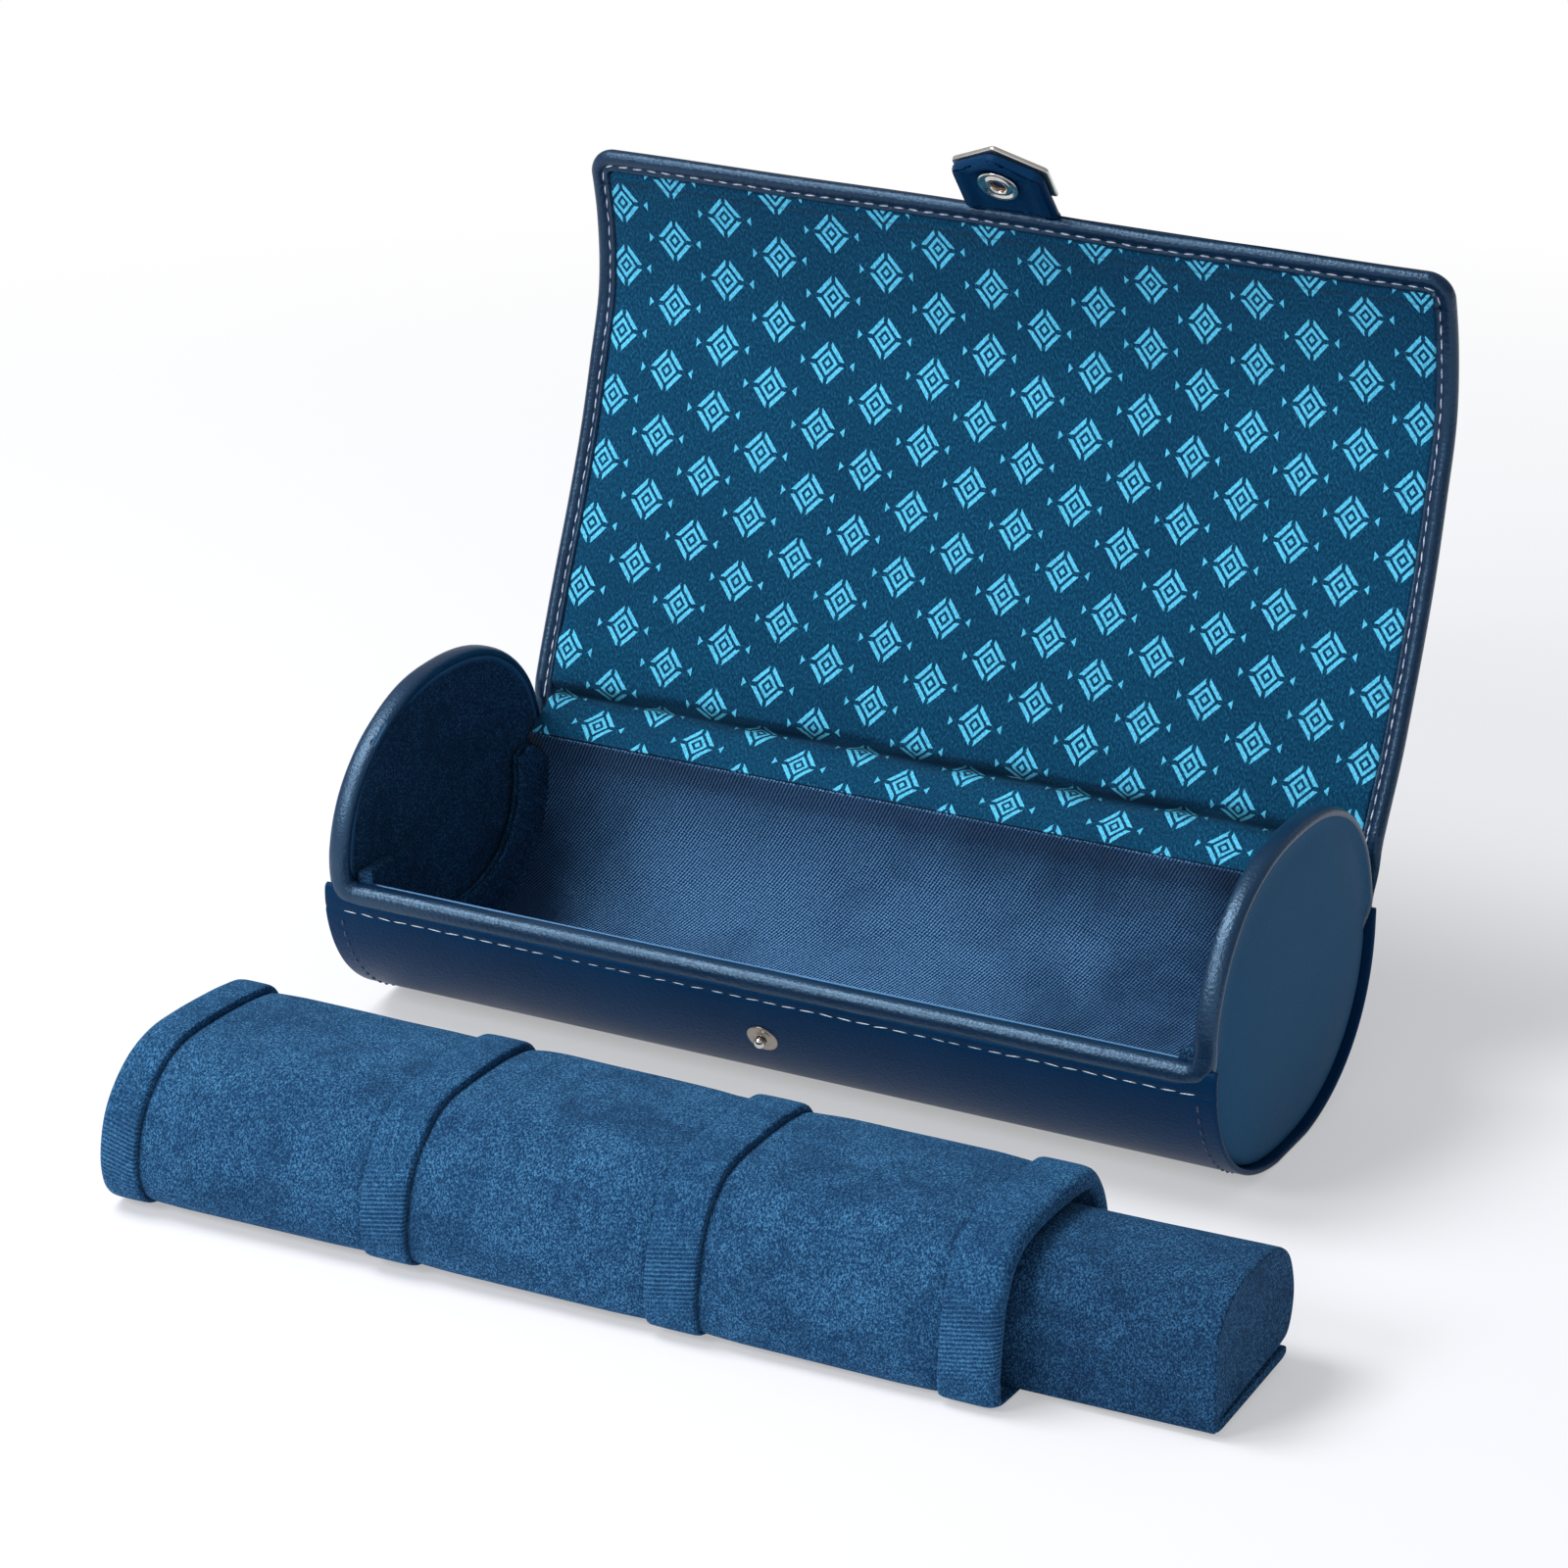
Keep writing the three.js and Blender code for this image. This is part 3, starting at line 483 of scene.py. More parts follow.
def stitchTree():
    tree = bpy.data.node_groups.new("Stitches", "GeometryNodeTree")
    face = tree.interface
    face.new_socket("Line", in_out="INPUT", socket_type="NodeSocketGeometry")
    for name, kind, value in (("Count", "Int", 10), ("Dash Length", "Float", 0.003),
                              ("Thread Radius", "Float", 0.0003), ("Unevenness", "Float", 0.1), ("Seed", "Int", 1)):
        face.new_socket(name, in_out="INPUT", socket_type="NodeSocket" + kind).default_value = value
    face.new_socket("Thread", in_out="INPUT", socket_type="NodeSocketMaterial")
    face.new_socket("Stitches", in_out="OUTPUT", socket_type="NodeSocketGeometry")
    given = tree.nodes.new("NodeGroupInput").outputs
    result = tree.nodes.new("NodeGroupOutput")
    curve = addNode(tree, "GeometryNodeMeshToCurve", {"Mesh": given["Line"]})
    spots = addNode(tree, "GeometryNodeCurveToPoints", {"Curve": curve.outputs[0], "Count": given["Count"]},
                    mode="COUNT")
    ball = addNode(tree, "GeometryNodeMeshUVSphere", {"Segments": 8, "Rings": 6, "Radius": 1.0})
    size = addNode(tree, "ShaderNodeCombineXYZ", {
        "X": times(given["Dash Length"], 0.5), "Y": given["Thread Radius"], "Z": given["Thread Radius"],
    })
    dash = addNode(tree, "GeometryNodeTransform", {"Geometry": ball.outputs[0], "Scale": size.outputs[0]})
    aim = addNode(tree, "FunctionNodeAlignRotationToVector", {"Vector": spots.outputs["Tangent"]}, axis="X")
    tilt = addNode(tree, "FunctionNodeRandomValue", {
        0: minus(0.0, given["Unevenness"]), 1: given["Unevenness"], "Seed": given["Seed"],
    }, data_type="FLOAT_VECTOR")
    turn = addNode(tree, "FunctionNodeEulerToRotation", {"Euler": tilt.outputs[0]})
    both = addNode(tree, "FunctionNodeRotateRotation", {"Rotation": aim.outputs[0], "Rotate By": turn.outputs[0]},
                   rotation_space="LOCAL")
    laid = addNode(tree, "GeometryNodeInstanceOnPoints", {
        "Points": spots.outputs["Points"], "Instance": dash.outputs[0], "Rotation": both.outputs[0],
    })
    solid = addNode(tree, "GeometryNodeRealizeInstances", {"Geometry": laid.outputs[0]})
    smooth = addNode(tree, "GeometryNodeSetShadeSmooth", {"Geometry": solid.outputs[0]})
    threaded = addNode(tree, "GeometryNodeSetMaterial", {"Geometry": smooth.outputs[0], "Material": given["Thread"]})
    tree.links.new(threaded.outputs[0], result.inputs["Stitches"])
    return tree


stitches = stitchTree()


def stitchRow(name, lines, look, thread, seed):
    # each line is drawn in by half a stitch at its ends
    verts, edges = [], []
    for line in lines:
        line = np.asarray(line, float)
        length = lineLengths(line)
        count = max(2, int(round(length[-1] / look["pitch"])))
        step = length[-1] / count
        reach = np.linspace(step / 2, length[-1] - step / 2, max(count * 4, 8))
        first = len(verts)
        verts += (pickAlong(length, line, reach) * mm).tolist()
        edges += [(k, k + 1) for k in range(first, len(verts) - 1)]
    mesh = bpy.data.meshes.new(name)
    mesh.from_pydata(verts, edges, [])
    piece = addObject(name, mesh)
    modifier = piece.modifiers.new("Made", "NODES")
    modifier.node_group = stitches
    sockets = {item.name: item.identifier for item in stitches.interface.items_tree if item.in_out == "INPUT"}
    values = {"Count": count, "Dash Length": look["dash"] * mm, "Thread Radius": look["radius"] * mm,
              "Unevenness": 0.09, "Seed": seed, "Thread": thread}
    for key, value in values.items():
        modifier[sockets[key]] = value
    # what the modifier makes becomes a plain mesh
    made = bpy.data.meshes.new_from_object(piece.evaluated_get(bpy.context.evaluated_depsgraph_get()))
    piece.modifiers.clear()
    piece.data = made
    made.name = name
    return piece


# Camera, floor and light

def rayShare(tree, *kinds):
    # 1 for rays of these kinds
    rays = addNode(tree, "ShaderNodeLightPath").outputs
    share = rays[kinds[0]]
    for kind in kinds[1:]:
        share = compute("MAXIMUM", share, rays[kind])
    return share


def whiteWhere(tree, share, lit, kind, output):
    # plain white where the share is 1, and lit as usual elsewhere
    white = addNode(tree, kind, {"Color": (1, 1, 1, 1), "Strength": 1.0})
    both = addNode(tree, "ShaderNodeMixShader", {0: share, 1: lit.outputs[0], 2: white.outputs[0]})
    tree.links.new(both.outputs[0], tree.nodes[output].inputs["Surface"])


def makeCamera():
    look = {"azimuth": 27.65, "elevation": 22.06, "distance": 1353.1, "target": (-48.2, 59.2, 41.7), "lens": 119.15}
    data = bpy.data.cameras.new("Camera")
    data.lens = look["lens"]
    data.sensor_width = 36
    data.clip_start, data.clip_end = 0.05, 50
    camera = addObject("Camera", data)
    a, e = math.radians(look["azimuth"]), math.radians(look["elevation"])
    back = Vector((math.sin(a) * math.cos(e), -math.cos(a) * math.cos(e), math.sin(e)))
    camera.location = (Vector(look["target"]) + back * look["distance"]) * mm
    camera.rotation_euler = back.to_track_quat("Z", "Y").to_euler()
    bpy.context.scene.camera = camera


def makeFloor():
    # shaded round the object, and plain white further out, in metres from the shadow's middle
    look = {"size": 12000, "drop": 0.2, "near": 0.30, "far": 0.78, "least": 0.4, "middle": (-0.02, 0.0, 0)}
    material, tree, shader = newMaterial("Floor", linearColor(240, 240, 245), 0.8, Specular_IOR_Level=0.1)
    place = addNode(tree, "ShaderNodeMapping", {"Vector": coordinatesOf(tree), "Location": look["middle"]})
    away = addNode(tree, "ShaderNodeVectorMath", {0: place.outputs[0]}, operation="LENGTH")
    fade = spread(away.outputs["Value"], look["near"], look["far"], look["least"], 1)
    seen = rayShare(tree, "Is Camera Ray", "Is Glossy Ray", "Is Transmission Ray")
    whiteWhere(tree, times(fade, seen), shader, "ShaderNodeEmission", "Material Output")
    half, z = look["size"] / 2, -look["drop"]
    points = np.array([[[-half, -half, z], [half, -half, z]], [[-half, half, z], [half, half, z]]])
    floor = gridPiece("floor", points, material, kind="sheet")
    if floor.data.polygons[0].normal.z < 0:
        floor.data.flip_normals()


def makeLights():
    lamps = {
        "key": {"place": (-700, -350, 1450), "aim": (0, 0, 60), "size": 750, "power": 19},
        "front": {"place": (-760, -1500, 1150), "aim": (0, -60, 30), "size": 600, "power": 15},
        "fill": {"place": (500, -1700, 700), "aim": (0, -60, 30), "size": 1300, "power": 3},
    }
    sky = {"color": (0.87, 0.93, 1, 1), "strength": 0.38}
    for name, lamp in lamps.items():
        data = bpy.data.lights.new(name, "AREA")
        data.shape = "SQUARE"
        data.size = lamp["size"] * mm
        data.energy = lamp["power"]
        light = addObject(name, data)
        light.location = Vector(lamp["place"]) * mm
        light.rotation_euler = (Vector(lamp["place"]) - Vector(lamp["aim"])).to_track_quat("Z", "Y").to_euler()
    world = bpy.data.worlds.new("Studio")
    bpy.context.scene.world = world
    world.use_nodes = True
    tree = world.node_tree
    background = tree.nodes["Background"]
    background.inputs["Color"].default_value = sky["color"]
    background.inputs["Strength"].default_value = sky["strength"]
    # what the camera sees past the floor is plain white
    seen = rayShare(tree, "Is Camera Ray", "Is Transmission Ray")
    whiteWhere(tree, seen, background, "ShaderNodeBackground", "World Output")


makeCamera()
makeFloor()
makeLights()
bpy.context.scene.view_settings.view_transform = "Standard"
print("camera, floor and light made")


# The case's section: a rounded oval, drawn in by an inset

case = {"halfLength": 120, "halfDepth": 50, "halfHeight": 42.4, "centreHeight": 42, "power": 2.25}


def sectionPoint(inset, angle):
    power = 2 / case["power"]
    y = signedPower(np.cos(angle), power) * (case["halfDepth"] - inset)
    z = signedPower(np.sin(angle), power) * (case["halfHeight"] - inset) + case["centreHeight"]
    return np.stack([y, z], -1)


def angleAtHeight(inset, height):
    rise = (height - case["centreHeight"]) / (case["halfHeight"] - inset)
    return math.copysign(math.asin(abs(rise) ** (case["power"] / 2)), rise)


def underArc(inset, rearHeight, frontHeight, steps):
    # from the rear wall, under the bottom, to the front wall
    angles = np.linspace(angleAtHeight(inset, rearHeight), -math.pi - angleAtHeight(inset, frontHeight), steps)
    line = sectionPoint(inset, angles)
    line[:, 1] = np.maximum(line[:, 1], inset)
    return line


def endStations(end, size, step):
    # even steps along the middle, and finer ones round both ends
    curve = [end - size * (1 - math.sin(a)) for a in np.linspace(0, math.pi / 2, 6)][1:]
    half = np.arange(0, end - size - step / 2, step).tolist() + [end - size] + curve
    return np.array([-x for x in half[:0:-1]] + half)


def makeTrayLeather():
    # climb: how far the leather rises to the rim at both ends, where it is also a little longer
    look = {"thickness": 1.5, "rearHeight": 44, "frontHeight": 32.6, "round": 0.7, "thinned": 0.92, "wave": 0.16,
            "longerLeft": 1.1, "longerRight": 0.8, "longerFrom": (112, 119), "climb": 3.4, "climbFrom": (111.5, 117.5)}
    arc = underArc(0, look["rearHeight"], look["frontHeight"], 90)
    # the front edge folds in over a stitched groove
    lip = splinePath([arc[-1], (-49.25, 33.3), (-49.1, 33.8), (-49.35, 34.4), (-49.5, 35.1), (-49.45, 35.9),
                      (-49.0, 36.6), (-48.2, 37.0)], 6)[1]
    outer = np.vstack([arc[:-1], lip])
    inner = shiftLine(outer, -look["thickness"])
    inner[:, 1] = np.maximum(inner[:, 1], look["thickness"])
    middle = (outer + inner) / 2
    rows = []
    for x in endStations(case["halfLength"], look["round"], 3):
        fade = look["thinned"] * (1 - quarterRound(case["halfLength"] - abs(x), look["round"]))
        near = outer + (middle - outer) * fade
        far = inner + (middle - inner) * fade
        rows.append(atX(x, np.vstack([near, far[::-1]])))
    points = np.array(rows)
    front = smoothStep(-points[..., 1], 25, 46)
    points[..., 1] += softNoise(points, 26, 3) * look["wave"] * front
    longer = (look["longerRight"] * smoothStep(points[..., 0], *look["longerFrom"])
              - look["longerLeft"] * smoothStep(-points[..., 0], *look["longerFrom"]))
    points[..., 0] += longer
    climb = smoothStep(np.abs(points[..., 0]), *look["climbFrom"]) * front
    points[..., 2] += look["climb"] * climb * smoothStep(points[..., 2], 33.9, 36.5)
    piece = gridPiece("trayLeather", points, leather)
    register(piece, "case", "leather", "tray_leather")


makeTrayLeather()


def makeBinding():
    # one soft roll: over the left end, down to the lip, along it, and over the right end
    look = {"endX": 117.25, "inset": 2.05, "lipY": -46.6, "lipHeight": 37.7, "rear": 46.0, "front": 47.5,
            "corner": 7.5, "tuckInset": 4.2, "tuckHeights": (40, 26.0), "sides": 30, "half": 3.05, "endOut": 1.5,
            "endAcross": 2.85, "square": 0.88, "thinBehind": 0.4, "pressedIn": 1.1, "pressedDown": 1.0}
    start = angleAtHeight(look["inset"], look["rear"])
    stop = math.pi - angleAtHeight(look["inset"], look["front"])
    over = sectionPoint(look["inset"], np.linspace(start, stop, 44))
    right = [(look["endX"], y, z) for y, z in over[::-1]]
    high, low = [angleAtHeight(look["tuckInset"], height) for height in look["tuckHeights"]]
    right += [(look["endX"] - 0.5, y, z) for y, z in sectionPoint(look["tuckInset"], np.linspace(high, low, 5))]
    bend = [(look["endX"] - 0.05, -47.5, look["lipHeight"] + 5.6),
            (look["endX"] - 1.1, -47.0, look["lipHeight"] + 1.7),
            (look["endX"] - 3.8, look["lipY"], look["lipHeight"] + 0.1)]
    lip = [(x, look["lipY"], look["lipHeight"]) for x in np.linspace(0, look["endX"] - look["corner"], 12)]
    half = lip + bend[::-1] + right
    line = splinePath([(-x, y, z) for x, y, z in half[:0:-1]] + half, 5)[1]
    tangent = unit(np.gradient(line, axis=0))
    outward = line - np.array([0, 0, case["centreHeight"]])
    outward[:, 0] = 0
    outward = unit(outward - (outward * tangent).sum(1, keepdims=True) * tangent)
    across = np.cross(tangent, outward)
    onEnd = smoothStep(line[:, 2], look["lipHeight"], look["lipHeight"] + 8)
    behind = smoothStep(line[:, 1], 20, 40) * smoothStep(-line[:, 2], -46, -36)
    swell = (1 + 0.035 * softNoise(line, 15, 5)) * (1 - look["thinBehind"] * behind)
    halfOut = (look["half"] * (1 - onEnd) + look["endOut"] * onEnd) * swell
    halfAcross = (look["half"] * (1 - onEnd) + look["endAcross"] * onEnd) * swell
    around = turnAngles(look["sides"])
    c, s = signedPower(np.cos(around), look["square"]), signedPower(np.sin(around), look["square"])
    points = (line[:, None] + outward[:, None] * (halfOut[:, None] * c)[..., None]
              + across[:, None] * (halfAcross[:, None] * s)[..., None])
    points += outward[:, None] * (0.05 * softNoise(points, 9, 6))[..., None]
    # the left end's roll is pressed in a little on its front shoulder
    spin = np.arctan2(points[..., 2] - case["centreHeight"], -points[..., 1])
    pressed = bell(spin, 0.8, 0.42) * smoothStep(-points[..., 0], 100, 112)
    points[..., 1] += look["pressedIn"] * pressed
    points[..., 2] -= look["pressedDown"] * pressed
    piece = gridPiece("bindingRoll", points, rolledLeather)
    register(piece, "case", "leather", "lip_binding")


makeBinding()


def endOutline(below, above, angles):
    # drawn in by one inset low on the end and by another above the lip
    low = sectionPoint(below, angles)
    share = smoothStep(low[:, 1], 36, 44)[:, None]
    return low * (1 - share) + sectionPoint(above, angles) * share


def panelRows(outline, profile, side):
    # rings of an end panel, from one pole to the other, each (share of the outline, x)
    centre = np.array([0.0, case["centreHeight"]])
    return np.array([atX(side * x, centre + (outline - centre) * share) for share, x in profile])


def makeEnds():
    face = {"below": 1.9, "above": 2.5, "liftFrom": (40, 48),
            "lift": ([0.8, 0.88, 0.93, 0.965, 0.985, 1.0], [0, 0.05, 0.25, 0.8, 1.35, 1.8])}
    lining = {"below": 5.6, "above": 2.3, "ragged": 0.35}
    faceProfile = [(0.02, 117.4), (0.6, 117.4), (0.985, 117.4), (1.0, 117.6), (1.0, 117.95), (0.996, 118.25),
                   (0.985, 118.55), (0.965, 118.85), (0.93, 119.2), (0.88, 119.55), (0.8, 119.95), (0.7, 120.3),
                   (0.56, 120.6), (0.38, 120.8), (0.2, 120.9), (0.02, 120.92)]
    liningProfile = [(0.02, 115.7), (0.6, 115.7), (0.985, 115.7), (1.0, 115.45), (1.0, 115.1), (0.994, 114.8),
                     (0.982, 114.62), (0.96, 114.6), (0.9, 114.66), (0.7, 114.74), (0.4, 114.78), (0.02, 114.8)]
    angles = turnAngles(120)
    for side, label in ((-1, "left"), (1, "right")):
        points = panelRows(endOutline(face["below"], face["above"], angles), faceProfile, side)
        # above the lip the face's outer rim swells out towards the roll; its first three rings lie inside
        lift = np.interp([share for share, x in faceProfile], *face["lift"])
        lift[:3] = 0
        points[..., 0] += side * lift[:, None] * smoothStep(points[4, :, 2], *face["liftFrom"])
        piece = gridPiece(label + "EndFace", points, grainedLeather)
        register(piece, "case", "leather", label + "_end_leather")

        points = panelRows(endOutline(lining["below"], lining["above"], angles), liningProfile, side)
        spin = np.arctan2(points[..., 2] - case["centreHeight"], points[..., 1])
        ragged = softNoise(np.stack([np.cos(spin) * 9, np.sin(spin) * 9, 0 * spin], -1), 0.9, 71)
        shares = np.array([share for share, x in liningProfile])[:, None]
        rim = smoothStep(shares, 0.9, 1.0) * lining["ragged"] * ragged
        points[..., 1] += rim * np.cos(spin)
        points[..., 2] += rim * np.sin(spin)
        surface = np.zeros((len(liningProfile), len(angles) + 1, 2))
        surface[..., 0] = shares
        piece = gridPiece(label + "EndLining", points, darkSuede, surface=surface)
        register(piece, "case", "tray_lining", label + "_end_lining")


makeEnds()


def makeTrayLining():
    look = {"inset": 5.2, "thickness": 0.7, "halfLength": 114.7, "rearHeight": 43, "frontHeight": 36, "thinned": 0.6}
    arc = underArc(look["inset"], look["rearHeight"], look["frontHeight"], 80)
    rear = [(41.6, 50.5), (42.3, 48.8), (43.5, 46.2), arc[0]]
    front = [arc[-1], (-44.5, 37.6), (-44.1, 39.0), (-43.95, 40.1)]
    line = np.vstack([splinePath(rear, 6)[1][:-1], arc[:-1], splinePath(front, 6)[1]])
    back = shiftLine(line, -look["thickness"])
    middle = (line + back) / 2
    for end in (0, -1):
        for edge in (line, back):
            edge[end] += (middle[end] - edge[end]) * look["thinned"]
    outline = np.vstack([line, back[::-1]])
    stations = np.linspace(-look["halfLength"], look["halfLength"], 60)
    points = np.array([atX(x, outline) for x in stations])
    length = lineLengths(line)
    along = np.concatenate([length, length[::-1], length[:1]])
    surface = np.stack(np.broadcast_arrays(stations[:, None], along[None, :]), -1)
    piece = gridPiece("trayLining", points, twill, surface=surface)
    register(piece, "case", "tray_lining", "tray_lining")


makeTrayLining()


def makeRibs():
    # a folded strip of the lining that stands along each end of the tray
    look = {"rear": ([4.9, 8, 11, 14, 17, 18.6], [1.0, 5.0, 9.5, 11.5, 10.5, 8.5]), "front": -181.5,
            "length": 130, "ending": 1.5, "narrow": 0.35, "middleX": 112.4, "middleInset": 12, "fill": 0.8}
    # across the strip: place along X, and inset from the case's skin
    around = [(114.0, 4.9), (114.1, 9), (114.1, 14), (114.0, 17.2), (113.75, 18.3), (113.2, 18.75), (112.75, 18.3),
              (112.55, 17.5), (112.3, 18.3), (111.8, 18.65), (111.2, 18.2), (110.95, 17.2), (110.9, 14), (110.85, 9),
              (110.5, 6.6), (109.9, 5.6), (109.4, 4.9), (112, 4.6)]
    profileX, profileInset = splinePath(around + around[:1], 4)[1][:-1].T
    # the strip starts behind at an angle, in degrees, that changes with the inset, and ends in front
    start = np.interp(profileInset, *look["rear"])
    shares = np.concatenate([[0, 0.002, 0.006, 0.012], np.linspace(0.02, 0.98, 90), [0.988, 0.994, 0.998, 1]])
    for side, label in ((-1, "left"), (1, "right")):
        rows = []
        for share in shares:
            ending = min(share, 1 - share) * look["length"]
            narrow = look["narrow"] * (1 - quarterRound(ending, look["ending"]))
            inset = profileInset * (1 - narrow * 0.3) + look["middleInset"] * narrow * 0.3
            angle = np.radians(start + (look["front"] - start) * share)
            x = profileX + (look["middleX"] - profileX) * narrow
            rows.append(np.column_stack([side * x, sectionPoint(inset, angle)]))
        points = np.array(rows)
        points[..., 0] += 0.22 * softNoise(points, 16, 11)
        points[..., 2] += 0.12 * softNoise(points, 6, 12)
        piece = gridPiece(label + "EndRib", points, ribSuede)
        register(piece, "case", "tray_lining", label + "_end_rib")


makeRibs()
print("case made")


# The lid: one leather shell and one printed lining, each cut into bands between the lid's bends

lid = {
    "hinges": [(49.806, 51.8), (58.091, 68.787), (66.376, 85.774), (74.809, 102.689), (82.497, 119.955),
               (88.806, 137.771), (94.331, 155.845), (94.331, 174.745), (90.402, 193.232)],
    "stripLength": 18.9, "strips": 8, "halfWidth": 119.6, "corner": 7.0, "overhang": -0.3, "foot": 0.8,
    "blendFoot": -6.0, "rollWidth": 2, "rollMiddle": -1.3, "rollUp": 2.1, "rollDown": 2.2,
}
lidBodies = ["case"] + [f"lid_{n}" for n in range(1, lid["strips"] + 1)]


def leanLid(points):
    # the open lid isn't quite true: it is a little out of square, and its free edge is wavy
    look = {"foot": 55, "height": 140, "sides": (25, 105), "wave": 1.3, "hump": (-30, 32), "dip": (38, 22)}
    rise = np.clip((points[..., 2] - look["foot"]) / look["height"], 0, 1.05)
    right = smoothStep(points[..., 0], *look["sides"])
    left = smoothStep(-points[..., 0], *look["sides"])
    points[..., 0] += right * (1.0 * smoothStep(rise, 0, 0.2) - 2.3 * rise - 1.15 * rise * rise)
    points[..., 0] += left * (0.5 * rise * rise - 3.5 * rise ** 0.6)
    wave = look["wave"] + 0.6 * bell(points[..., 0], *look["hump"]) - 0.8 * bell(points[..., 0], *look["dip"])
    points[..., 2] += rise * rise * (wave - 1.0 * right + 0.45 * left) + 0.5 * left * rise
    return points


def lidPath():
    chain = [np.array(p) for p in lid["hinges"]]
    last = chain[-1] + (chain[-1] - chain[-2]) / lid["stripLength"] * 12
    length, line = splinePath([(46.45, 40.5), (46.6, 44.6), (47.6, 48.2)] + chain + [last], 24)
    start = length[np.argmin(np.linalg.norm(line - chain[0], axis=1))]
    return length - start, line


lidLine = lidPath()
lidTop = lid["stripLength"] * lid["strips"] + lid["overhang"]
lidBottom = float(lidLine[0][0]) + lid["foot"]
cuts = [lid["stripLength"] * (k + 0.5) for k in range(lid["strips"])]


def edgeDistance(x, reach, plan):
    corner = plan["corner"]
    qx = np.abs(x) - (plan["halfWidth"] - corner)
    qs = reach - (plan["top"] - corner)
    rounded = corner - np.sqrt(np.maximum(qx, 0) ** 2 + np.maximum(qs, 0) ** 2)
    straight = np.minimum(plan["halfWidth"] - np.abs(x), plan["top"] - reach)
    return np.maximum(np.where((qx > 0) & (qs > 0), rounded, straight), 0)


def shellRows(plan):
    rows = np.arange(plan["bottom"], plan["top"] - plan["edge"][-1], plan["step"]).tolist()
    rows = [r for r in rows if min(abs(r - c) for c in plan["cuts"]) > 0.4 * plan["step"]] + list(plan["cuts"])
    rows += [plan["top"] - e for e in plan["edge"]]
    return np.unique(np.round(rows, 4))


def shellColumns(reach, plan):
    corner = plan["corner"]
    rise = np.clip(reach - (plan["top"] - corner), 0, corner)
    width = plan["halfWidth"] - corner + np.sqrt(np.maximum(corner ** 2 - rise ** 2, 0))
    left = -width + np.array(plan["edge"])
    middle = np.linspace(-1, 1, plan["inner"] + 2)[1:-1] * (width - plan["edge"][-1])
    return np.concatenate([left, middle, -left[::-1]])


def blendAlong(piece):
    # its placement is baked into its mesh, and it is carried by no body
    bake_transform(piece)


def lidInner(d):
    # the rolled edge, the groove under the stitches and the bed of the lining, by distance from the edge
    roll = lid["rollMiddle"] + lid["rollUp"] * quarterRound(d, lid["rollWidth"])
    bed = np.interp(d, [2, 2.8, 3.4, 3.8, 4.2, 4.7, 5.1, 5.5, 5.9, 7],
                    [0.8, 0.62, 0.2, -0.12, 0.12, 0.34, 0.28, -0.4, -1.5, -2.3])
    return np.where(d < lid["rollWidth"], roll, bed)


def lidOuter(d):
    return lid["rollMiddle"] - lid["rollDown"] * quarterRound(d, lid["rollWidth"])


def makeShell(name, material, heights, plan):
    rows, path = shellRows(plan), plan["path"]
    grid, places = [], []
    for reach in rows:
        x = shellColumns(reach, plan)
        near, far = heights(x, np.full(len(x), reach), edgeDistance(x, reach, plan))
        ringX = np.concatenate([x, x[-2:0:-1]])
        rise = np.concatenate([near, far[-2:0:-1]])
        place, normal = alongPath(path, np.full(len(ringX), reach))
        grid.append(np.column_stack([ringX, place + normal * rise[:, None]]))
        # some of the cloth is tucked away in the fold at the hinge
        laid = reach - plan["hidden"] * (1 - smoothStep(reach, 13.2, 15.2))
        places.append(np.column_stack([ringX, np.full(len(ringX), laid)]))
    points = leanLid(np.array(grid))
    surface = np.array(places)
    surface = np.concatenate([surface, surface[:, :1]], 1)
    # the two sides share their points along the free edge
    count = points.shape[1]
    same = np.arange(points.shape[0] * count).reshape(points.shape[0], count)
    for j in range(1, count // 2):
        same[-1, count - j] = same[-1, j]
    # the rolled edge keeps true normals on its sides
    around = np.roll(points, -1, 1) - np.roll(points, 1, 1)
    normals = unit(np.cross(around, np.gradient(points, axis=0)))
    tip = alongPath(path, [plan["top"] - 0.7, plan["top"]])[0]
    normals[-1] = (0, *unit(tip[1] - tip[0]))
    edges = [0] + [int(np.argmin(np.abs(rows - c))) for c in plan["cuts"]] + [len(rows) - 1]
    pieces = []
    for k, (low, high) in enumerate(zip(edges, edges[1:])):
        last = k == len(edges) - 2
        span = slice(low, high + 1)
        piece = gridPiece(f"{name}{k}", points[span], material, surface=surface[span],
                          same=same[span] - same[low, 0], normals=None if last else normals[span])
        if last:
            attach(piece, lidBodies[k])
        else:
            blendAlong(piece)
        pieces.append(piece)
    return pieces


